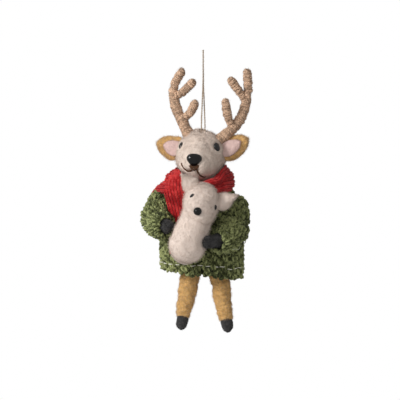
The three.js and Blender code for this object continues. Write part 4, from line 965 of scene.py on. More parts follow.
class ORNAMENT_OT_stage(bpy.types.Operator):
    """Camera, soft studio light, pale floor and white background"""

    bl_idname = "ornament.stage"
    bl_label = "Stage"

    def execute(self, context):
        scene = context.scene
        scene.view_settings.view_transform = "Standard"
        camera = bpy.data.cameras.new("camera")
        camera.lens, camera.sensor_width, camera.clip_end = CAMERA_LENS, CAMERA_SENSOR, CAMERA_REACH
        holder = bpy.data.objects.new("camera", camera)
        holder.location = CAMERA_AT * MM
        holder.rotation_euler = (np.pi / 2, 0, 0)
        scene.collection.objects.link(holder)
        scene.camera = holder
        for name, (at, wide, power) in LAMPS.items():
            lamp = bpy.data.lights.new(name, "AREA")
            lamp.shape, lamp.size, lamp.energy = "DISK", wide, power
            holder = bpy.data.objects.new(name, lamp)
            holder.location = at
            holder.rotation_euler = (LAMPS_FACE - Vector(at)).to_track_quat("-Z", "Y").to_euler()
            holder.visible_glossy = name == "key"
            scene.collection.objects.link(holder)
        self.world(scene)
        self.floor(scene)
        return {"FINISHED"}

    def world(self, scene):
        """Even pale light, and plain white where the camera, gloss and glass look past the object."""
        world = bpy.data.worlds.new("studio")
        world.use_nodes = True
        scene.world = world
        tree = world.node_tree
        light, white = tree.nodes["Background"], tree.nodes.new("ShaderNodeBackground")
        for node, shade, strength in ((light, STUDIO_COLOUR, STUDIO_LIGHT), (white, (1, 1, 1, 1), 1)):
            node.inputs["Color"].default_value = shade
            node.inputs["Strength"].default_value = strength
        share_between(tree, seen_directly(tree), light, white, "World Output")

    def floor(self, scene):
        """A pale round floor under the hanging figure, which fades to the white background at its rim."""
        turn = TAU * np.arange(FLOOR_CORNERS) / FLOOR_CORNERS
        rim = np.stack([FLOOR_RADIUS * np.cos(turn), FLOOR_RADIUS * np.sin(turn) + FLOOR_Y,
                        np.full(FLOOR_CORNERS, FLOOR_Z)], -1) * MM
        mesh = bpy.data.meshes.new("floor")
        mesh.from_pydata(rim.tolist(), [], [list(range(FLOOR_CORNERS))])
        floor = bpy.data.objects.new("floor", mesh)
        n = Nodes("floor_paint", 0.9)
        grain = n.noise(n.place(), 60.0, 2)
        base = n.ramp(grain, [(0.2, (0.9, 0.9, 0.9, 1)), (0.8, (0.94, 0.94, 0.94, 1))])
        n.finish(base, grain, 0.02)
        spot = n.add("ShaderNodeVectorMath", operation="LENGTH")
        n.link(n.place(), spot.inputs[0])
        fade = n.add("ShaderNodeMapRange", interpolation_type="SMOOTHSTEP", Value=spot.outputs["Value"],
                     From_Min=FLOOR_FADE[0], From_Max=FLOOR_FADE[1], To_Min=FLOOR_GLOW)
        share = n.add("ShaderNodeMath", operation="MULTIPLY")
        n.link(fade.outputs["Result"], share.inputs[0])
        n.link(seen_directly(n.tree), share.inputs[1])
        share_between(n.tree, share.outputs[0], n.shader, n.add("ShaderNodeEmission"), "Material Output")
        mesh.materials.append(n.material)
        scene.collection.objects.link(floor)


def share_between(tree, share, first, second, output):
    """Sends a mix of two shaders to the tree's output."""
    mix = tree.nodes.new("ShaderNodeMixShader")
    tree.links.new(share, mix.inputs["Fac"])
    tree.links.new(first.outputs[0], mix.inputs[1])
    tree.links.new(second.outputs[0], mix.inputs[2])
    tree.links.new(mix.outputs[0], tree.nodes[output].inputs["Surface"])


def seen_directly(tree):
    """1 for rays from the camera, off gloss and through glass."""
    path = tree.nodes.new("ShaderNodeLightPath")
    last = path.outputs["Is Camera Ray"]
    for name in ("Is Glossy Ray", "Is Transmission Ray"):
        add = tree.nodes.new("ShaderNodeMath")
        add.operation, add.use_clamp = "ADD", True
        tree.links.new(last, add.inputs[0])
        tree.links.new(path.outputs[name], add.inputs[1])
        last = add.outputs[0]
    return last


# The twine, and the deer's head and face

STRAND = [
    (1, 0, 1), (1, 0, 0.96), (0.96, 0, 0.89), (0.84, 0.07, 0.8), (0.68, 0.2, 0.71), (0.48, 0.33, 0.6),
    (0.28, 0.42, 0.5), (0.12, 0.49, 0.39), (0.04, 0.53, 0.28), (0, 0.67, 0.178), (0, 0.89, 0.098),
    (0, 1, 0.046), (0, 0.71, 0.008),
]
STRAND_SIZE = [1.25, 2.25, -56.3]
TWINE_LAY, TWINE_PLY_OUT, TWINE_PLY_RADIUS = 3.4, 0.2, 0.29
KNOT_SIZE, KNOT_RADIUS = 1.15, 0.46


class ORNAMENT_OT_twine(bpy.types.Operator):
    """Loop of two-ply jute twine and the knot in the crown"""

    bl_idname = "ornament.twine"
    bl_label = "Twine and knot"

    def execute(self, context):
        half = np.array(STRAND) * STRAND_SIZE
        route = np.concatenate([half * [-1, -1, 1], [[0, 0, 0.5]], half[::-1]])
        line = line_through(route, 560)
        across, over = frames_along(line)[1:]
        twist = TAU * np.linspace(0, line_length(line), len(line)) / TWINE_LAY
        out = TWINE_PLY_OUT * (1 + 0.05 * lumps(line, 5.0, 3))
        lines = np.stack([line + out[:, None] * way for way in two_strands(twist, across, over)])
        radius = TWINE_PLY_RADIUS * (1 + 0.12 * lumps(lines, 1.2, 4))
        surface = tubes(lines, np.stack([across, across]), radius, 7)
        shades_along = np.random.default_rng(5).uniform(0.2, 0.8, lines[..., 0].size)
        tone = np.concatenate([np.repeat(shades_along, 7), [0.5] * 4])
        loop = put_piece("twine_loop", surface, "hanger", "jute", ["hanger_loop"], tone)
        hairs = fuzz("twine_hairs", surface_samples(surface), "hanger", "antler_fibre", slot="twine")
        self.knot()
        return {"FINISHED"}

    def knot(self):
        """An overhand knot: a trefoil line, cos and sin of 2t on a ring whose radius swings with cos 3t."""
        t = TAU * np.arange(120) / 120
        ring = 0.62 + 0.36 * np.cos(3 * t)
        line = np.stack([ring * np.cos(2 * t), ring * np.sin(2 * t), 0.5 * np.sin(3 * t)], -1)
        line = line * KNOT_SIZE + KNOT_AT
        surface = tubes(line[None], unit(line - KNOT_AT)[None], KNOT_RADIUS, 8, closed=True)
        put_piece("twine_knot", surface, "knot", "jute", ["hanger_knot"], 0.5)


MOUTH = {
    "right": [(-28, -17), (-23, -24), (-15, -29), (-8, -29), (-3, -25)],
    "left": [(4, -19), (6, -27), (10, -35), (18, -42), (26, -45)],
}
NOSE_DEG, EYE_DEG = (0, -9), (54, 21.5)
NOSE_SIZE, NOSE_SINK, NOSE_TAPER, NOSE_FULLNESS = (11.0, 7.2, 8.8), 0.7, 0.44, 2.5
EYE_HALF = np.array([2.35, 1.6, 2.95])
PUFFS = ((-11.6, -79.5, 0.9, 4.2), (2.6, -82, 1.1, 5.0), (-7.2, -90, 0.5, 3.4))
CROWN_DIP, CROWN_DIP_WIDE = 4.6, 2.3
MOUTH_DEEP, MOUTH_WIDE = 1.0, 0.95


def mouth_line(side, lift, count=90):
    """The mouth's line on one side, over or under the head's outline."""
    return line_through([on_head(*deg, lift=lift)[0] for deg in MOUTH[side]], count)


def eye_place(sign, lift=0.0):
    """Where an eye sits on the head, and the direction out of the head there."""
    return on_head(sign * EYE_DEG[0], EYE_DEG[1], lift)


def head_surface(rows=124, columns=190):
    """The felted head: its outline with fine and coarse lumps, cheeks and chin puffed up beside sunk mouth
    lines, seats for the eyes and the nose, and a soft funnel in the crown for the knot."""
    way = directions(rows, columns)
    reach = head_reach(way)
    at = HEAD_MIDDLE + way * reach[..., None]
    bump = 0.26 * lumps(at, 7, 11) + 0.16 * lumps(at, 3, 12) + 0.11 * lumps(at, 1.3, 13)
    front = rise(-(at[..., 1] - HEAD_MIDDLE[1]), 8, 16)
    for x, z, high, wide in PUFFS:
        bump += high * front * hill(np.hypot(at[..., 0] - x, at[..., 2] - z), wide)
    for side, sign in SIGNS.items():
        bump -= MOUTH_DEEP * hill(nearest_on(at, mouth_line(side, 0.0)), MOUTH_WIDE)
        far = distance(at, eye_place(sign)[0])
        bump += 0.55 * hill(far - 4.6, 1.5) - 0.55 * hill(far, 3.0)
    nose = on_head(*NOSE_DEG)[0]
    bump -= 0.5 * hill(distance(at, nose), 4.6, 4)
    bump += 0.35 * hill(np.linalg.norm((at - nose) * [1, 0.6, 1.1], axis=-1) - 6.4, 1.1)
    grid = HEAD_MIDDLE + way * (reach + bump)[..., None]
    hole = np.hypot(grid[..., 0], grid[..., 1])
    grid[..., 2] -= CROWN_DIP * hill(hole, CROWN_DIP_WIDE) * (grid[..., 2] > HEAD_MIDDLE[2])
    return skin(grid)


class ORNAMENT_OT_head(bpy.types.Operator):
    """Felted head with its fuzz"""

    bl_idname = "ornament.head"
    bl_label = "Head"

    def execute(self, context):
        sizes = context.scene.deer_sizes
        surface = head_surface()
        put_piece("head_felt", surface, "head", "cream_felt", ["head"])
        points, facing = surface_samples(surface)
        below = points[:, 2] < -60
        keep = below | (np.hypot(points[:, 0], points[:, 1]) > 4)
        keep &= distance(points, on_head(*NOSE_DEG)[0]) > 5.2
        for side, sign in SIGNS.items():
            keep &= nearest_on(points, mouth_line(side, 0.0, 30)) > 1.1
            keep &= distance(points, eye_place(sign)[0]) > 3.4
        for kind in ("head_fuzz", "head_halo"):
            fuzz(kind, (points[keep], facing[keep]), "head", "cream_fibre", comb=(0.1, 0, -1.3),
                 longer=sizes.fuzz_length / MM)
        return {"FINISHED"}


class ORNAMENT_OT_face(bpy.types.Operator):
    """Glossy nose, satin eyes and the stitched mouth"""

    bl_idname = "ornament.face"
    bl_label = "Face"

    def execute(self, context):
        self.nose()
        self.philtrum()
        for side, sign in SIGNS.items():
            at, way = eye_place(sign, -0.4 + 0.1 * sign)
            put_piece(f"eye_bead_{side}", self.eye(at, way, 1 + 0.12 * sign), "head", "eye_bead",
                      [f"eye_{side}"])
            self.mouth(side)
        return {"FINISHED"}

    def nose(self):
        """A rounded triangle: a fuller ball whose width shrinks downwards, seated a little in the muzzle."""
        at = on_head(*NOSE_DEG, lift=-NOSE_SINK)[0]
        way = directions(48, 72)
        own = way @ HEAD_TURN
        width = NOSE_SIZE[0] * (1 - NOSE_TAPER * rise(-own[..., 2], -0.3, 1.1))
        d = np.abs(own) * 2 / np.stack(np.broadcast_arrays(width, *NOSE_SIZE[1:]), -1)
        reach = (d**NOSE_FULLNESS).sum(-1) ** (-1 / NOSE_FULLNESS)
        put_piece("nose_bead", skin(at + way * reach[..., None]), "head", "black_bead", ["nose"])

    def philtrum(self, threads=9, steps=30):
        """Brown threads laid side by side from under the nose, drawn together at the middle of the mouth,
        and a few loose wisps of the same wool under the chin."""
        share = np.linspace(0, 1, steps)[None]
        start = np.linspace(-1, 1, threads)[:, None]
        side = 0.6 + start * (3.2 + 6.6 * (1 - share) ** 0.8)
        up = -17 - share * (10.5 - 2.5 * np.abs(start))
        line, out = on_head(side, up, 0.05 + 0.5 * np.sin(np.pi * np.clip(share, 0.08, 0.92)))
        rng = np.random.default_rng(23)
        shades_along = rng.uniform(0.3, 0.7, threads * steps)
        tone = np.concatenate([np.repeat(shades_along, 6), np.full(2 * threads, 0.5)])
        put_piece("mouth_philtrum", tubes(line, out, 0.42, 6), "head", "brown_thread", tone=tone)
        chin = on_head(rng.normal(6, 9, 300), rng.normal(-60, 5, 300))
        fuzz("chin_wisps", chin, "head", "brown_fibre")

    def eye(self, at, way, size):
        """A low oval dome on the head's skin, lying square to the direction out of the head."""
        side = unit(np.cross(UP, way))
        d = directions(28, 40) * EYE_HALF * size
        return skin(at + d[..., 0:1] * side + d[..., 1:2] * way + d[..., 2:3] * np.cross(way, side))

    def mouth(self, side, count=260):
        """Long stitches of two-strand brown thread along the mouth line, each dipping in at its ends."""
        base, high = mouth_line(side, -0.35, count), mouth_line(side, 0.35, count)
        share = np.linspace(0, 1, count)
        dip = np.abs(np.sin(np.pi * 4 * share)) ** 0.4
        line = base + (high - base) * dip[:, None] * 0.75
        out = unit(high - base)
        over = np.cross(unit(np.gradient(line, axis=0)), out)
        strands = np.stack([line + 0.24 * way for way in two_strands(TAU * share * 9, over, out)])
        put_piece(f"mouth_thread_{side}", tubes(strands, np.stack([out, out]), 0.38, 7), "head",
                  "brown_thread", [f"mouth_stitch_{side}"], 0.45)


# Ears and antlers

EAR_LEAF = [0.72, 0.92, 1, 0.98, 0.91, 0.78, 0.58, 0.34]
LAMB_LEAF = [0.72, 0.94, 1, 0.93, 0.76, 0.5, 0.24, 0.06]
EAR_LENGTHS = {"right": (17.8, 11.8), "left": (20.8, 14.8)}
EAR_WIDTH, EAR_THICKNESS, EAR_CUP, EAR_BEND, EAR_RIM = 17, 2.4, 3.4, 1.7, 0.45
LINING_WIDTH, LINING_THICKNESS, LINING_CUP, LINING_LIFT = 10.8, 1.2, 1.3, 1.75


def leaf(base, along, facing, size, shares, cup, bend, seed, lift=0.0, rim=0.0, rows=64, columns=56):
    """A cupped leaf of felt. Round its edge the section is a flat oval, thicker at the rim where asked. Its
    width follows a smooth curve from base to tip, its sides curl by the square of the way out, and it bends
    by the square of the way up."""
    length, width, thickness = size
    across = unit(np.cross(facing, along))
    face = unit(np.cross(along, across))
    turn = (TAU * np.arange(columns) / columns)[None]
    t = (1 - (1 - np.linspace(0, 1, rows)) ** 1.15)[:, None]
    share = eased(t, even(shares), shares) * np.sqrt(1 - np.clip((t - 0.84) / 0.16, 0, 1) ** 2 * 0.97)
    side = np.sign(np.cos(turn)) * np.abs(np.cos(turn)) ** 0.8
    thick = thickness / 2 * (1 + rim * side**6) * (1 - rise(t, 0.9, 1) * 0.6)
    out = thick * np.sign(np.sin(turn)) * np.abs(np.sin(turn)) ** 0.75
    at = (base + length * t[..., None] * along + (side * width / 2 * share)[..., None] * across
          + (out + lift - cup * share * side**2 + bend * t**2)[..., None] * face)
    rough = min(1, thickness / 2.4) ** 2
    at = at + 0.14 * lumps(at, 1.8, seed)[..., None] * np.sign(out)[..., None] * face
    at = at + (0.3 * rough * lumps(at, 3.5, seed + 1) * side)[..., None] * across
    return skin(at)


class ORNAMENT_OT_ears(bpy.types.Operator):
    """Ochre felt ears with pink linings"""

    bl_idname = "ornament.ears"
    bl_label = "Ears"

    def execute(self, context):
        for side, sign in SIGNS.items():
            base = on_head(sign * 80, 9, lift=-2)[0] + 0.6 * UP
            lift, back, turn = np.radians(21 + sign * 8), np.radians(14), np.radians(14)
            along = np.array([sign * np.cos(lift) * np.cos(back), np.sin(back), np.sin(lift)])
            facing = np.array([-sign * np.sin(turn), -np.cos(turn), 0])
            along, facing = HEAD_TURN @ unit(along), HEAD_TURN @ facing
            long, lining_long = EAR_LENGTHS[side]
            shell = leaf(base, along, facing, (long, EAR_WIDTH, EAR_THICKNESS), EAR_LEAF, EAR_CUP, EAR_BEND,
                         31 + sign, rim=EAR_RIM)
            put_piece(f"ear_felt_{side}", shell, "head", "ochre_felt", [f"ear_{side}"])
            lining = leaf(base, along, facing, (lining_long, LINING_WIDTH, LINING_THICKNESS), EAR_LEAF,
                          LINING_CUP, EAR_BEND * (lining_long / long) ** 2, 41 + sign, lift=LINING_LIFT)
            put_piece(f"ear_lining_{side}", lining, "head", "pink_felt", [f"ear_{side}_lining"])
            for name, surface, wool_name in (("ear", shell, "ochre"), ("ear_lining", lining, "pink")):
                fuzz(f"{name}_fuzz_{side}", surface_samples(surface), "head", f"{wool_name}_fibre",
                     comb=0.7 * along, step=sign)
        return {"FINISHED"}


ANTLER_ROOTS = {"right": (-92, 55), "left": (84, 41)}
ANTLER_SIZE = [19, 7, 48]
ANTLERS = {
    "right": {
        "beam": [(0, 0, 0), (-0.16, 0.3, 0.14), (-0.33, 0.7, 0.28), (-0.5, 1, 0.46), (-0.56, 1, 0.62),
                 (-0.5, 0.8, 0.74), (-0.34, 0.5, 0.86), (-0.22, 0.3, 0.96)],
        "lower": [(-0.26, 0.6, 0.22), (-0.02, 0.25, 0.28), (0.16, 0, 0.37), (0.27, -0.3, 0.49)],
        "upper": [(-0.54, 1, 0.56), (-0.28, 0.7, 0.6), (-0.02, 0.4, 0.69), (0.22, 0.1, 0.79)],
    },
    "left": {
        "beam": [(0, 0, 0), (0.29, 0.3, 0.1), (0.62, 0.7, 0.23), (0.88, 0.95, 0.41), (0.99, 1, 0.59),
                 (1.04, 0.85, 0.76), (1.03, 0.5, 0.92), (0.99, 0.3, 1.03)],
        "lower": [(0.5, 0.6, 0.18), (0.36, 0.3, 0.28), (0.26, 0.05, 0.41), (0.21, -0.25, 0.59)],
        "upper": [(0.99, 1, 0.55), (0.84, 0.8, 0.65), (0.61, 0.5, 0.76), (0.37, 0.2, 0.9)],
    },
}
ANTLER_SINK = 4
BEAM_RADIUS, BEAM = 3.6, [1.22, 1.06, 0.98, 1, 0.92, 0.86, 0.84, 0.8]
TINE_RADIUS, TINE = 3.0, [0.96, 0.9, 1, 0.92]
WINDINGS = ((1, 0.84, 1.0, 0), (0.8, 4.6, -1.0, 0.25))
CORE_ROWS, CORE_COLUMNS, CORE_TONE = 60, 28, 0.2


def wound(place, long, thick, pitch, seed, slope=1.0):
    """Yarn wound round a limb: its turn runs with the length over the pitch, and the pitch and lay wander."""
    turns = long / pitch
    count = int(turns * 20)
    share = np.linspace(0.004, 0.996, count)
    drift = np.cumsum(np.random.default_rng(seed).normal(0, 1, count)) / np.sqrt(count)
    wander = 0.05 * np.sin(share * TAU * turns / 3.3) + 0.02 * drift
    v = share * long + 0.22 * pitch * np.sin(TAU * (share * turns * 0.37 + 0.2))
    line, facing = place(slope * share * turns + wander, np.clip(v, 0, long))
    line = line + 0.2 * (lumps(line, 3.4, seed) + lumps(line, 1.5, seed + 1))[..., None] * facing
    return line, facing, thick / 2 * (1 + 0.25 * lumps(line, 1.6, seed))


class ORNAMENT_OT_antlers(bpy.types.Operator):
    """Antlers of wire wound with wool yarn"""

    bl_idname = "ornament.antlers"
    bl_label = "Antlers"

    def execute(self, context):
        sizes = context.scene.deer_sizes
        for side in ANTLERS:
            root = on_head(*ANTLER_ROOTS[side])[0]
            for line, shares in ANTLERS[side].items():
                places = root + np.array(shares) * ANTLER_SIZE
                if line == "beam":
                    places[0] += (HEAD_MIDDLE - places[0]) * (ANTLER_SINK / HEAD_SIZE[0])
                    self.wind(f"antler_{side}_beam", places, BEAM_RADIUS, BEAM, sizes.antler_yarn / MM)
                else:
                    self.wind(f"antler_{side}_{line}_tine", places, TINE_RADIUS, TINE,
                              sizes.antler_yarn / MM)
        return {"FINISHED"}

    def wind(self, node, places, full, radii, thick):
        """A wool core under one close winding and a sparse slanting one that crosses it."""
        kind = node.rpartition("_")[2]
        seed = sum(map(ord, node))
        shares = [r - 0.42 * thick / full for r in radii]
        place, long = limb(places, full, shares, round_start=kind != "beam")
        core = place(np.arange(CORE_COLUMNS) / CORE_COLUMNS,
                     np.linspace(0.002, 0.998, CORE_ROWS)[:, None] * long)[0]
        surfaces, tones = [skin(core)], [np.full(CORE_COLUMNS * CORE_ROWS + 2, CORE_TONE)]
        rng = np.random.default_rng(seed)
        for width, pitch, slope, lift in WINDINGS:
            line, facing, radius = wound(place, long, width * thick, pitch * thick, seed, slope)
            surfaces.append(tubes((line + lift * facing)[None], facing[None], radius[None], 7))
            marks = np.arange(0, len(line) + 12, 6)
            slow = np.interp(np.arange(len(line)), marks, rng.uniform(0.22, 0.78, len(marks)))
            tones.append(np.concatenate([np.repeat(slow, 7), [0.5, 0.5]]))
        uv = [np.concatenate([np.zeros((len(surfaces[0][1][k]), 4 - k, 2)), *(s[2][k] for s in surfaces[1:])])
              for k in (0, 1)]
        put_piece(f"{node}_yarn", (*joined(surfaces), uv), "head", "antler_yarn", [node],
                  np.concatenate(tones))
        samples = place(rng.uniform(0, 1, 4000), rng.uniform(0, 1, 4000) * long, thick / 2)
        fuzz(f"{node}_fuzz", samples, "head", "antler_fibre", f"{kind}_fuzz", step=seed)


# The body, the limbs and the sweater

def felt_limb(place, long, columns, rows, seed, size=1.0, extra=None):
    """The skin of a limb with coarse and fine lumps, and any extra relief from its place and share."""
    u, v = np.arange(columns) / columns, (np.linspace(0.002, 0.998, rows) * long)[:, None]
    at, facing = place(u, v)
    relief = 0.3 * lumps(at, 5, seed) + 0.16 * lumps(at, 2.2, seed + 1) + 0.08 * lumps(at, 1.1, seed + 2)
    relief = size * relief
    if extra is not None:
        relief = relief + extra(u, v / long, at)
    return skin(at + relief[..., None] * facing)


TORSO_GAP = 4.9
TORSO_END_Z = -146.0
NECK_RADIUS = 7.3
ARM_RADIUS, ARM = 5.2, [1, 1, 0.9, 0.78]
PAW_RADIUS, PAW, PAW_LONG = 5.1, [0.78, 0.95, 1, 1], 14.7


class ORNAMENT_OT_body(bpy.types.Operator):
    """Felted torso and arms inside the sweater, and the armature wires"""

    bl_idname = "ornament.body"
    bl_label = "Torso, arms and wires"

    def execute(self, context):
        turn, level = (TAU * np.arange(64) / 64)[None], np.linspace(0.0, 0.8, 40)[:, None]
        a, b = body_half(level)
        r = oval(turn, a - TORSO_GAP, b - TORSO_GAP)
        x, y = r * np.cos(turn), r * np.sin(turn)
        z = COLLAR_Z - 0.8 - BODY_SIZE[2] * level - HEM_SLOPE * x * level
        trunk = np.stack([BODY_MIDDLE[0] + x, BODY_MIDDLE[1] + y, np.maximum(z, TORSO_END_Z)], -1)
        neck, long = limb([NECK_AT + 3 * UP, NECK_AT - 19 * UP], NECK_RADIUS, [1, 1], round_start=False,
                          round_end=False)
        put_piece("torso_felt", joined([skin(trunk), felt_limb(neck, long, 40, 24, 61)]), "torso",
                  "cream_felt", ["torso"])
        for side in ARM_ROUTES:
            wrist = 1 - 15 / arm_length(side)
            place, long = limb(arm_line(side, 0, wrist - 0.05, 40), ARM_RADIUS, ARM, round_end=False)
            put_piece(f"arm_felt_{side}", felt_limb(place, long, 32, 40, 63), "torso", "ochre_felt",
                      [f"arm_{side}"])
        for name, node in frame["nodes"].items():
            if name.endswith("_wire"):
                node.data.materials.clear()
                node.data.materials.append(MATERIALS["core_wire"])
        return {"FINISHED"}


class ORNAMENT_OT_paws(bpy.types.Operator):
    """Dark felt front hooves"""

    bl_idname = "ornament.paws"
    bl_label = "Front hooves"

    def execute(self, context):
        for side in ARM_ROUTES:
            wrist = 1 - PAW_LONG / arm_length(side)
            place, long = limb(arm_line(side, wrist - 0.12, 1, 30), PAW_RADIUS, PAW, round_start=False)
            felted(f"paw_felt_{side}", felt_limb(place, long, 72, 60, 71, 0.9, self.cleft), "torso", "dark",
                   [f"paw_{side}"])
        return {"FINISHED"}

    def cleft(self, u, share, at):
        """A groove over the end, between the hoof's two lobes."""
        groove = hill((u - 0.25) % 0.5 - 0.25, 0.045)
        return 0.45 * lumps(at, 3.4, 72) - 0.75 - 1.8 * groove * rise(share, 0.5, 0.8)


SWEATER_TOP = 1.2
SWEATER_COLUMNS, SLEEVE_COLUMNS = 38, 16
LINING_ROWS = 50
HEM_THREAD_UP, HEM_THREAD_RADIUS, HEM_STITCHES = 7.2, 0.27, 30
SLEEVE_REACH = {"right": (0.86, 2.8), "left": (0.74, 4.2)}
SLEEVE_RADIUS, SLEEVE, SLEEVE_RIM = 10.0, [0.86, 1, 1, 0.96, 0.9], 5.9
ELBOW = {"right": (0.31, -0.1), "left": (0.44, 0)}


class ORNAMENT_OT_sweater(bpy.types.Operator):
    """Chunky moss-stitch sweater body with its lining and hem thread"""

    bl_idname = "ornament.sweater"
    bl_label = "Sweater"

    def execute(self, context):
        sizes = context.scene.deer_sizes
        course, width = sizes.sweater_course / MM, sizes.sweater_yarn / MM
        rows = int((BODY_LONG - SWEATER_TOP + 0.8) / course)
        part = knit(body_place, SWEATER_COLUMNS, rows, SWEATER_TOP, course, width, MOSS, 81, base=-1.9)
        moss_knitted("sweater", part, "sweater_body")
        self.lining()
        self.hem_thread()
        fuzz("sweater_fuzz", yarn_samples(part, 0.8, 3), "torso", "green_fibre")
        return {"FINISHED"}

    def lining(self):
        """A dark wall under the stitches, from its outer face round the hem to its inner face. Its dark green
        is painted shade, seen in the gaps between the stitches.
        """
        u = np.arange(120) / 120
        v = np.linspace(0.5, BODY_LONG - 0.6, LINING_ROWS)[:, None]
        wall = closed_ring(np.concatenate([body_place(u, v, -3.3)[0], body_place(u, v[::-1], -4.4)[0]]))
        put_piece("sweater_lining", wall, "torso", "green_painted_shade_base")

    def hem_thread(self):
        """Pale running stitches: short arcs just over the surface, a dash and a gap in turn, ends sunk."""
        share = np.linspace(0, 1, 14)[None]
        rng = np.random.default_rng(85)
        start = (np.arange(HEM_STITCHES)[:, None] + rng.normal(0, 0.05, (HEM_STITCHES, 1))) / HEM_STITCHES
        u = start + share * 0.68 / HEM_STITCHES
        v = BODY_LONG - HEM_THREAD_UP + rng.normal(0, 0.3, (HEM_STITCHES, 1))
        v = v + 1.2 * rise(np.cos(TAU * u - np.pi), 0, 1)
        at, facing = body_place(u, v, -1.3 + 1.6 * np.sin(np.pi * share) ** 0.5)
        put_piece("hem_running_stitch", tubes(at, facing, HEM_THREAD_RADIUS, 7), "torso", "pale_thread",
                  ["hem_thread"], 0.6)


class ORNAMENT_OT_sleeves(bpy.types.Operator):
    """Moss-stitch sleeves"""

    bl_idname = "ornament.sleeves"
    bl_label = "Sleeves"

    def execute(self, context):
        sizes = context.scene.deer_sizes
        course, width = sizes.sweater_course / MM, sizes.sweater_yarn / MM
        for side in ARM_ROUTES:
            share, more = SLEEVE_REACH[side]
            bare, long = limb(arm_line(side, 0, share + more / arm_length(side), 40), SLEEVE_RADIUS, SLEEVE,
                              round_end=SLEEVE_RIM)

            def place(u, v, lift=0.0, bare=bare, long=long, elbow=ELBOW[side]):
                """The sleeve's form, with a fold in front of the elbow and room for the lamb."""
                share, way = v / long, bare(u, v)[1]
                front = rise(0.5 * way[..., 2] - way[..., 1], -0.2, 0.7)
                past = share - (elbow[0] + elbow[1] * way[..., 0])
                fold = hill(past, 0.055) * (0.6 + 3.2 * front) - 1.1 * front * hill(past - 0.16, 0.09)
                at, facing = bare(u, v, lift + 0.45 * np.sin(TAU * 1.6 * share + 0.6) - fold)
                return clear_of_lamb(at, 0.9), facing

            part = knit(place, SLEEVE_COLUMNS, int((long - 1.0) / course), 0.8, course, width, MOSS, 91,
                        base=-1.4)
            moss_knitted(f"sleeve_{side}", part, f"sweater_sleeve_{side}")
            u = np.arange(60) / 60
            outer = place(u, np.linspace(0.02 * long, long - 0.6, LINING_ROWS)[:, None], -2.7)[0]
            inner = bare(u, np.linspace(0.8, 0.02, LINING_ROWS)[:, None] * long, -4.2)[0]
            # The sleeve's lining: a dark wall whose green is painted shade in the gaps between the stitches.
            put_piece(f"sleeve_lining_{side}", closed_ring(np.concatenate([outer, inner])), "torso",
                      "green_painted_shade_base")
            if side == "left":
                self.seam(place, long)
            fuzz(f"sleeve_fuzz_{side}", yarn_samples(part, 0.8), "torso", "green_fibre")
        return {"FINISHED"}

    def seam(self, place, long):
        """The pale thread of the sleeve's seam: along its lower front, in and out of its stitches."""
        turn = np.arange(360) / 360
        share = np.linspace(0.5, 0.85, 90)
        facing = place(turn, (share * long)[:, None])[1]
        lower = np.argmax(facing @ unit(np.array([0.1, -0.72, -0.7])), 1)
        u = np.convolve(np.pad(turn[lower], 8, "edge"), np.full(17, 1 / 17), "valid")
        u = u + 0.02 * np.sin(TAU * 5 * share)
        at, facing = place(u[None], (share * long)[None], 0.55 + 0.5 * np.sin(TAU * 11 * share)[None])
        put_piece("sleeve_seam_thread", tubes(at, facing, 0.3, 7), "torso", "green_fibre", tone=0.8)


# The scarf

STRIP_WIDE = 15.4
WRAP_TOPS = [0.36, 0.5, 0.86, 1, 0.98, 0.98, 1, 0.98, 0.94, 0.9, 0.76, 0.44]
WRAP_FLARES = [0, 0, 0, 0, 0, 0, 0, 0.1, 0.42, 0.64, 0.44, 0.1]
WRAP_FORM = np.array([[0, 0.1], [0.4, 0], [0.85, 0.04], [1, 0.25], [0.9, 0.52], [1, 0.7], [0.84, 0.96],
                      [0.44, 1], [0.1, 0.85]])
WRAP_SECTION = [13, 14]
WRAP_STEPS = 300
WRAP_HALF = (23.5, 21)
WRAP_HIGH, WRAP_FOOT, FLARE_UP_TO = 20, COLLAR_Z - 8, 0.72
WRAP_GIRTH, NECK_HOLE, WRAP_GAP, FRONT_GAP = 128.0, 7.8, 1.2, 2.4


def round_share(turn, shares):
    """Values round a circle, each running softly into the next."""
    at = (turn / TAU) % 1 * len(shares)
    i = np.floor(at).astype(int) % len(shares)
    soft = rise(at - np.floor(at), 0, 1)
    shares = np.asarray(shares)
    return shares[i] * (1 - soft) + shares[(i + 1) % len(shares)] * soft


def wrap_form():
    """The wrap's closed section as a smooth line, evenly spaced."""
    p = np.concatenate([WRAP_FORM[-2:], WRAP_FORM, WRAP_FORM[:3]])
    line = line_through(np.column_stack([p, np.zeros(len(p))]), 800)
    far = np.linalg.norm(line[:, :2] - WRAP_FORM[0], axis=1)
    start, end = np.argmin(far[:400]), 400 + np.argmin(far[400:])
    return evenly(line[start:end + 1] * [*WRAP_SECTION, 0], WRAP_STEPS)[:, :2] / WRAP_SECTION


WRAP_LINE = wrap_form()


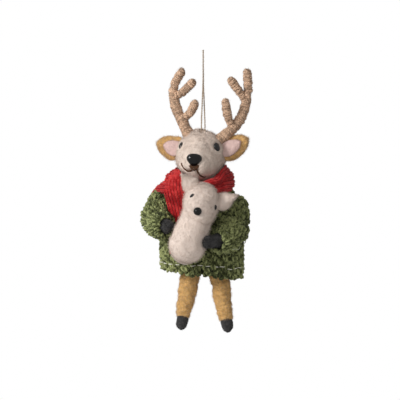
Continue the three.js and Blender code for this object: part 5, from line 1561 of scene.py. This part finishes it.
def wrap_place(u, v, lift=0.0):
    """The scarf round the neck: its section, sized by the way round, with slanting folds in its face. u runs
    round the section from the inside under it and up, v is the length round the neck from the front."""
    def bare(u, v):
        turn = TAU * v / WRAP_GIRTH
        way = np.stack([np.sin(turn), -np.cos(turn), np.zeros_like(turn)], -1)
        r, z = (np.interp(u % 1, np.linspace(0, 1, WRAP_STEPS), line) for line in WRAP_LINE.T)
        outer = 1 / np.hypot(way[..., 0] / WRAP_HALF[0], way[..., 1] / WRAP_HALF[1])
        rim = outer * (1 + round_share(turn, WRAP_FLARES) * (FLARE_UP_TO - z))
        fold = 0.9 * np.sin(2.2 * turn + 6.5 * z + 0.6) + 0.5 * np.sin(-3.1 * turn + 9 * z + 2)
        rim = rim - 3.4 * rise(z, 0.35, 1) * rise(way[..., 0], 0.4, 0.9)
        reach = NECK_HOLE + (rim - NECK_HOLE) * r + fold * rise(r, 0.5, 0.9)
        at = reach[..., None] * way
        at[..., 2] = WRAP_FOOT + WRAP_HIGH * round_share(turn, WRAP_TOPS) * z
        return at + NECK_AT * [1, 1, 0]
    at, facing = lifted(bare, u, v, lift, 0.004, 0.2)
    return kept_clear(at, HEAD_MIDDLE, head_room, WRAP_GAP + np.minimum(lift, 0)), facing


def body_front(x, z):
    """The sweater's front face: its -Y place at x and z."""
    level = (COLLAR_Z - z) / (BODY_SIZE[2] + HEM_SLOPE * (x - BODY_MIDDLE[0]))
    a, b = body_half(np.clip(level, 0, 1))
    share = np.minimum(np.abs(x - BODY_MIDDLE[0]) / a, 0.96)
    return BODY_MIDDLE[1] - b * (1 - share**SQUARENESS) ** (1 / SQUARENESS)


def wrap_front(x, z):
    """The wrap's outer face: its -Y place at x and z, by its oval and the flare at its right side."""
    turn = np.arctan2(x - NECK_AT[0], NECK_AT[1] + 14)
    up = np.clip((z - WRAP_FOOT) / (WRAP_HIGH * round_share(turn, WRAP_TOPS)), 0, 1)
    flare = 1 + round_share(turn, WRAP_FLARES) * (FLARE_UP_TO - up)
    share = np.clip(np.abs(x - NECK_AT[0]) / (WRAP_HALF[0] * flare), 0, 0.97)
    return NECK_AT[1] - WRAP_HALF[1] * flare * np.sqrt(1 - share**2)


FRONT_END = np.array([(-0.55, -0.27), (-0.576, -0.2), (-0.64, -0.1), (-0.65, 0), (-0.62, 0.1),
                      (-0.58, 0.2), (-0.5, 0.42), (-0.46, 0.64), (-0.5, 0.82), (-0.5, 1)])
FRONT_HANG = 46


def front_place(u, v, lift=0.0):
    """The scarf's front end: a strip that comes over the wrap from under the chin and lies on the sweater.
    Its face is the further out of the two that it lies on, run softly together, with low folds along it."""
    def bare(u, v):
        share = v / FRONT_HANG + FRONT_END[0, 1]
        middle = BODY_MIDDLE[0] + eased(share, FRONT_END[:, 1], FRONT_END[:, 0]) * BODY_SIZE[0] / 2
        x = middle + (u - 0.5) * STRIP_WIDE * (0.3 + 0.7 * rise(share, FRONT_END[0, 1], -0.08))
        z = COLLAR_Z - 4 - share * FRONT_HANG
        low, high = body_front(x, z) - 0.6, wrap_front(x, np.maximum(z, WRAP_FOOT)) + 0.4
        over = rise(z, COLLAR_Z - 22, COLLAR_Z - 3)
        y = low * (1 - over) + np.minimum(low, high) * over
        fold = 0.65 * np.cos((2 * u - 1 + share) * np.pi)
        return np.stack([x, y - 1.7 - fold, z], -1)
    at, facing = lifted(bare, u, v, lift, 0.01, 0.1)
    return kept_clear(at, HEAD_MIDDLE, head_room, FRONT_GAP + np.minimum(lift, 0)), facing


BACK_END = [(-0.62, 0.3, 0.02), (-0.95, 0.42, 0.03), (-1.12, 0.66, 0.12), (-1.02, 0.96, 0.28),
            (-0.86, 1.08, 0.44), (-0.8, 1.12, 0.6)]


def back_place(u, v, lift=0.0):
    """The scarf's back end: a strip along a line over the shoulder, facing away from the body, whose edges
    curl towards it by the square of the way out."""
    line = line_through([in_body(*p) for p in BACK_END], 300)
    run = np.linspace(0, line_length(line), len(line))
    along = unit(np.gradient(line, axis=0))
    across = unit(np.cross(along, unit(line - in_body(0, 0, 0.3))))
    table = np.concatenate([line, across, np.cross(across, along)], -1)
    u, v, lift = np.broadcast_arrays(*(np.asarray(a, float) for a in (u, v, lift)))
    t = np.stack([np.interp(v, run, table[:, k]) for k in range(9)], -1)
    at, across, face = t[..., :3], t[..., 3:6], t[..., 6:]
    side = 2 * u - 1
    curl = 0.3 * np.sin(3 * side + v / 6) - 1.56 * side**2
    facing = unit(face + (0.3 * side)[..., None] * across)
    at = at + (side * STRIP_WIDE / 2)[..., None] * across + curl[..., None] * face
    return at + lift[..., None] * facing, facing


def strip_base(place, long, low, high, thickness, columns=24, rows=60):
    """A thin closed strip under the stitches: its front face and its back face, joined round the edge."""
    u = np.linspace(low, high, columns)
    v = np.linspace(0.2, long - 0.2, rows)[:, None]
    return skin(np.concatenate([place(u, v, -0.7)[0], place(u[::-1], v, -thickness)[0]], 1))


WRAP_COURSE, END_COURSE = 1.45, 1.6
SCARF_ENDS = (
    ("scarf_front", front_place, 58.0, (0.0154, 0.0585), "laid"),
    ("scarf_back", back_place, 39.6, (0.0154, 0.04), "draped"),
)


class ORNAMENT_OT_scarf(bpy.types.Operator):
    """Plain-knit scarf: the wrap, its front end and its back end"""

    bl_idname = "ornament.scarf"
    bl_label = "Scarf"

    def execute(self, context):
        width = context.scene.deer_sizes.scarf_yarn / MM
        rows = int(WRAP_GIRTH / WRAP_COURSE)
        part = knit(wrap_place, 15, rows, 0, WRAP_GIRTH / rows, width, PLAIN, 101, 0.14, 0.84)
        wrap = knitted("scarf_wrap_knit", part, 5, "red_yarn", closed=False)
        under = wrap_place(np.arange(90) / 90, (np.arange(120) / 120 * WRAP_GIRTH)[:, None], -0.48)[0]
        ring = put_piece("scarf_wrap_base", closed_ring(under), "torso", "red_base", ["scarf_wrap"])
        fuzzy = self.fuzz_on("scarf_wrap", part)
        for name, place, long, flat, held in SCARF_ENDS:
            part = knit(place, 7, int(long / END_COURSE), 0.2, END_COURSE, width, PLAIN, 105, 0.03, 0.97)
            face = knitted(f"{name}_knit", part, 6, "red_yarn", closed=False)
            strip = put_piece(f"{name}_base", strip_base(place, long, 0.02, 0.98, 1.5), "torso", "red_base",
                              [f"{name}_end"])
            fuzzy = self.fuzz_on(name, part)
        return {"FINISHED"}

    def fuzz_on(self, name, part):
        """Loose fibres, seated just over one knitted face."""
        return fuzz(f"{name}_fuzz", yarn_samples(part, 0.45), "torso", "red_fibre")


# The lamb and the legs

LAMB_TRUNK = [0.97, 1, 0.97, 0.89, 0.85, 0.88]
LAMB_CHIN, LAMB_CHIN_FULL, LAMB_CHIN_WIDE = (4, -74), 4.6, np.radians(31)
LAMB_SEATS = ((LAMB_NOSE_DEG, 3.0, 0.7), *((eye, 2.0, 0.4) for eye in LAMB_EYES.values()))
LAMB_NOSE_RADIUS = 2.85


class ORNAMENT_OT_lamb(bpy.types.Operator):
    """Felted lamb with its bead nose, eyes and ears"""

    bl_idname = "ornament.lamb"
    bl_label = "Lamb"

    def execute(self, context):
        place, long = limb([LAMB_MIDDLE - LAMB_RADIUS * LAMB_WAY, LAMB_HEAD], LAMB_RADIUS, LAMB_TRUNK)
        trunk = felt_limb(place, long, 110, 100, 111, 0.6, lambda u, share, at: -0.15)
        put_piece("lamb_trunk_felt", trunk, "torso", "lamb_felt", ["lamb_body"])
        head = self.head()
        put_piece("lamb_head_felt", head, "torso", "lamb_felt", ["lamb_head"])
        for part, surface in (("trunk", trunk), ("head", head)):
            points, facing = surface_samples(surface)
            keep = np.ones(len(points), bool)
            for deg, bare, _ in LAMB_SEATS:
                keep &= distance(points, on_lamb(*deg)[0]) > bare
            for kind, comb in (("fuzz", -0.8), ("halo", -0.5)):
                fuzz(f"lamb_{part}_{kind}", (points[keep], facing[keep]), "torso", "lamb_fibre",
                     comb=comb * LAMB_WAY)
        nose = on_lamb(*LAMB_NOSE_DEG)[0] + directions(36, 48) * LAMB_NOSE_RADIUS
        put_piece("lamb_nose_bead", skin(nose), "torso", "black_bead", ["lamb_nose"])
        for side in LAMB_EYES:
            put_piece(f"lamb_eye_bead_{side}", self.eye(side), "torso", "eye_bead", [f"lamb_eye_{side}"])
            self.ear(side)
        return {"FINISHED"}

    def head(self):
        """The head's outline with soft lumps, a full chin and shallow seats round the nose and the eyes."""
        way = directions(110, 160)
        reach = lamb_reach(way)
        at = LAMB_HEAD + way * reach[..., None]
        bump = 0.26 * lumps(at, 5, 121) + 0.12 * lumps(at, 2.2, 122) + 0.06 * lumps(at, 1.1, 123)
        chin = np.arccos(np.clip(way @ way_of(*LAMB_CHIN), -1, 1))
        bump += LAMB_CHIN_FULL * hill(chin, LAMB_CHIN_WIDE)
        for deg, wide, deep in LAMB_SEATS:
            bump -= deep * hill(distance(at, on_lamb(*deg)[0]), wide)
        return skin(LAMB_HEAD + way * (reach + bump)[..., None])

    def eye(self, side):
        """A small oval dome that leans to one side."""
        at, way = on_lamb(*LAMB_EYES[side], lift=-0.3)
        lean = np.radians(LAMB_EYE_LEANS[side])
        across = unit(np.cross(UP, way))
        tall = np.sin(lean) * across + np.cos(lean) * np.cross(way, across)
        d = directions(24, 32)
        return skin(at + 1.08 * d[..., 0:1] * np.cross(tall, way) + 1.3 * d[..., 1:2] * way
                    + 1.9 * d[..., 2:3] * tall)

    def ear(self, side):
        """A thick cupped leaf from the side of the head."""
        side_deg, up, turn, long = LAMB_EARS[side]
        base, way = on_lamb(side_deg, up, lift=-2)
        along = turned(0, turn) @ unit(way * [1, 0, 1])
        surface = leaf(base, along, np.array([0, -1.0, 0]), (long, 12, 3.4), LAMB_LEAF, 1.6, 0, 131, rim=0.1)
        felted(f"lamb_ear_felt_{side}", surface, "torso", "lamb", [f"lamb_ear_{side}"], comb=along)


HIPS = {"right": (-7.7, 6, -148.25), "left": (9.7, 6, -149.95)}
LEG_LEAN, ANKLE_DOWN, HOOF_DOWN = np.radians(9.8), 38, 47.4
LEG_RADIUS, LEG, LEG_RIM = 6.7, [0.776, 0.86, 0.93, 1, 0.96, 0.95, 0.88, 0.86, 0.79, 0.7], 3.6
HOOF_RADIUS, HOOF = 3.9, [1, 1.02, 0.97, 0.7]


class ORNAMENT_OT_legs(bpy.types.Operator):
    """Wrapped ochre legs and dark hooves"""

    bl_idname = "ornament.legs"
    bl_label = "Legs"

    def execute(self, context):
        for side, sign in SIGNS.items():
            lean, body = LEG_LEAN * sign, f"leg_{side}"
            down = np.array([np.sin(lean), 0, -np.cos(lean)])
            hip = np.array(HIPS[side])
            ankle, tip = hip + ANKLE_DOWN * down, hip + HOOF_DOWN * down
            place, long = limb([hip - 5.0 * down, ankle + 1.0 * down], LEG_RADIUS, LEG, round_end=LEG_RIM)

            def wraps(u, share, at, phase=sign):
                """Slanting ridges of the wound wool, about 4 mm apart, sharper in their hollows."""
                wave = share * 10.5 + 0.5 * np.sin(TAU * u + phase) + 0.3 * lumps(at, 6, 141)
                fade = rise(share, 0.12, 0.22) * (1 - rise(share, 0.9, 0.97))
                ridges = 0.55 * (np.abs(np.cos(np.pi * wave)) ** 0.8 - 0.6) * fade
                return ridges + 0.3 * lumps(at, 7, 142) - 0.5 * rise(share, 0.84, 0.98)

            felted(f"leg_felt_{side}", felt_limb(place, long, 84, 120, 143 + sign, 1.0, wraps), body,
                   "ochre", [f"leg_{side}"])
            place, long = limb([ankle - 0.8 * down, tip], HOOF_RADIUS, HOOF, round_start=False)
            felted(f"hoof_felt_{side}", felt_limb(place, long, 64, 60, 147 + sign, 0.6), body, "dark",
                   [f"hoof_{side}"], comb=down)
        return {"FINISHED"}


# Registration and the build

PARTS = (
    ORNAMENT_OT_stage, ORNAMENT_OT_twine, ORNAMENT_OT_head, ORNAMENT_OT_face, ORNAMENT_OT_ears,
    ORNAMENT_OT_antlers, ORNAMENT_OT_body, ORNAMENT_OT_paws, ORNAMENT_OT_sweater, ORNAMENT_OT_sleeves,
    ORNAMENT_OT_scarf, ORNAMENT_OT_lamb, ORNAMENT_OT_legs,
)


class ORNAMENT_PT_panel(bpy.types.Panel):
    """Pieces of the ornament, with their sizes and colours"""

    bl_idname = "ORNAMENT_PT_panel"
    bl_label = "Deer Ornament"
    bl_space_type = "VIEW_3D"
    bl_region_type = "UI"
    bl_category = "Ornament"

    def draw(self, context):
        column = self.layout.column()
        for part in PARTS:
            column.operator(part.bl_idname)
        for group in (context.scene.deer_sizes, context.scene.deer_colours):
            for name in group.bl_rna.properties.keys():
                if name not in ("rna_type", "name"):
                    column.prop(group, name)


CLASSES = (DeerSizes, DeerColours, *PARTS, ORNAMENT_PT_panel)


def register():
    for cls in CLASSES:
        bpy.utils.register_class(cls)
    bpy.types.Scene.deer_sizes = PointerProperty(type=DeerSizes)
    bpy.types.Scene.deer_colours = PointerProperty(type=DeerColours)


def unregister():
    del bpy.types.Scene.deer_colours
    del bpy.types.Scene.deer_sizes
    for cls in reversed(CLASSES):
        bpy.utils.unregister_class(cls)


def main():
    register()
    make_materials()
    for part in PARTS:
        group, name = part.bl_idname.split(".")
        getattr(getattr(bpy.ops, group), name)()


if __name__ == "__main__":
    main()
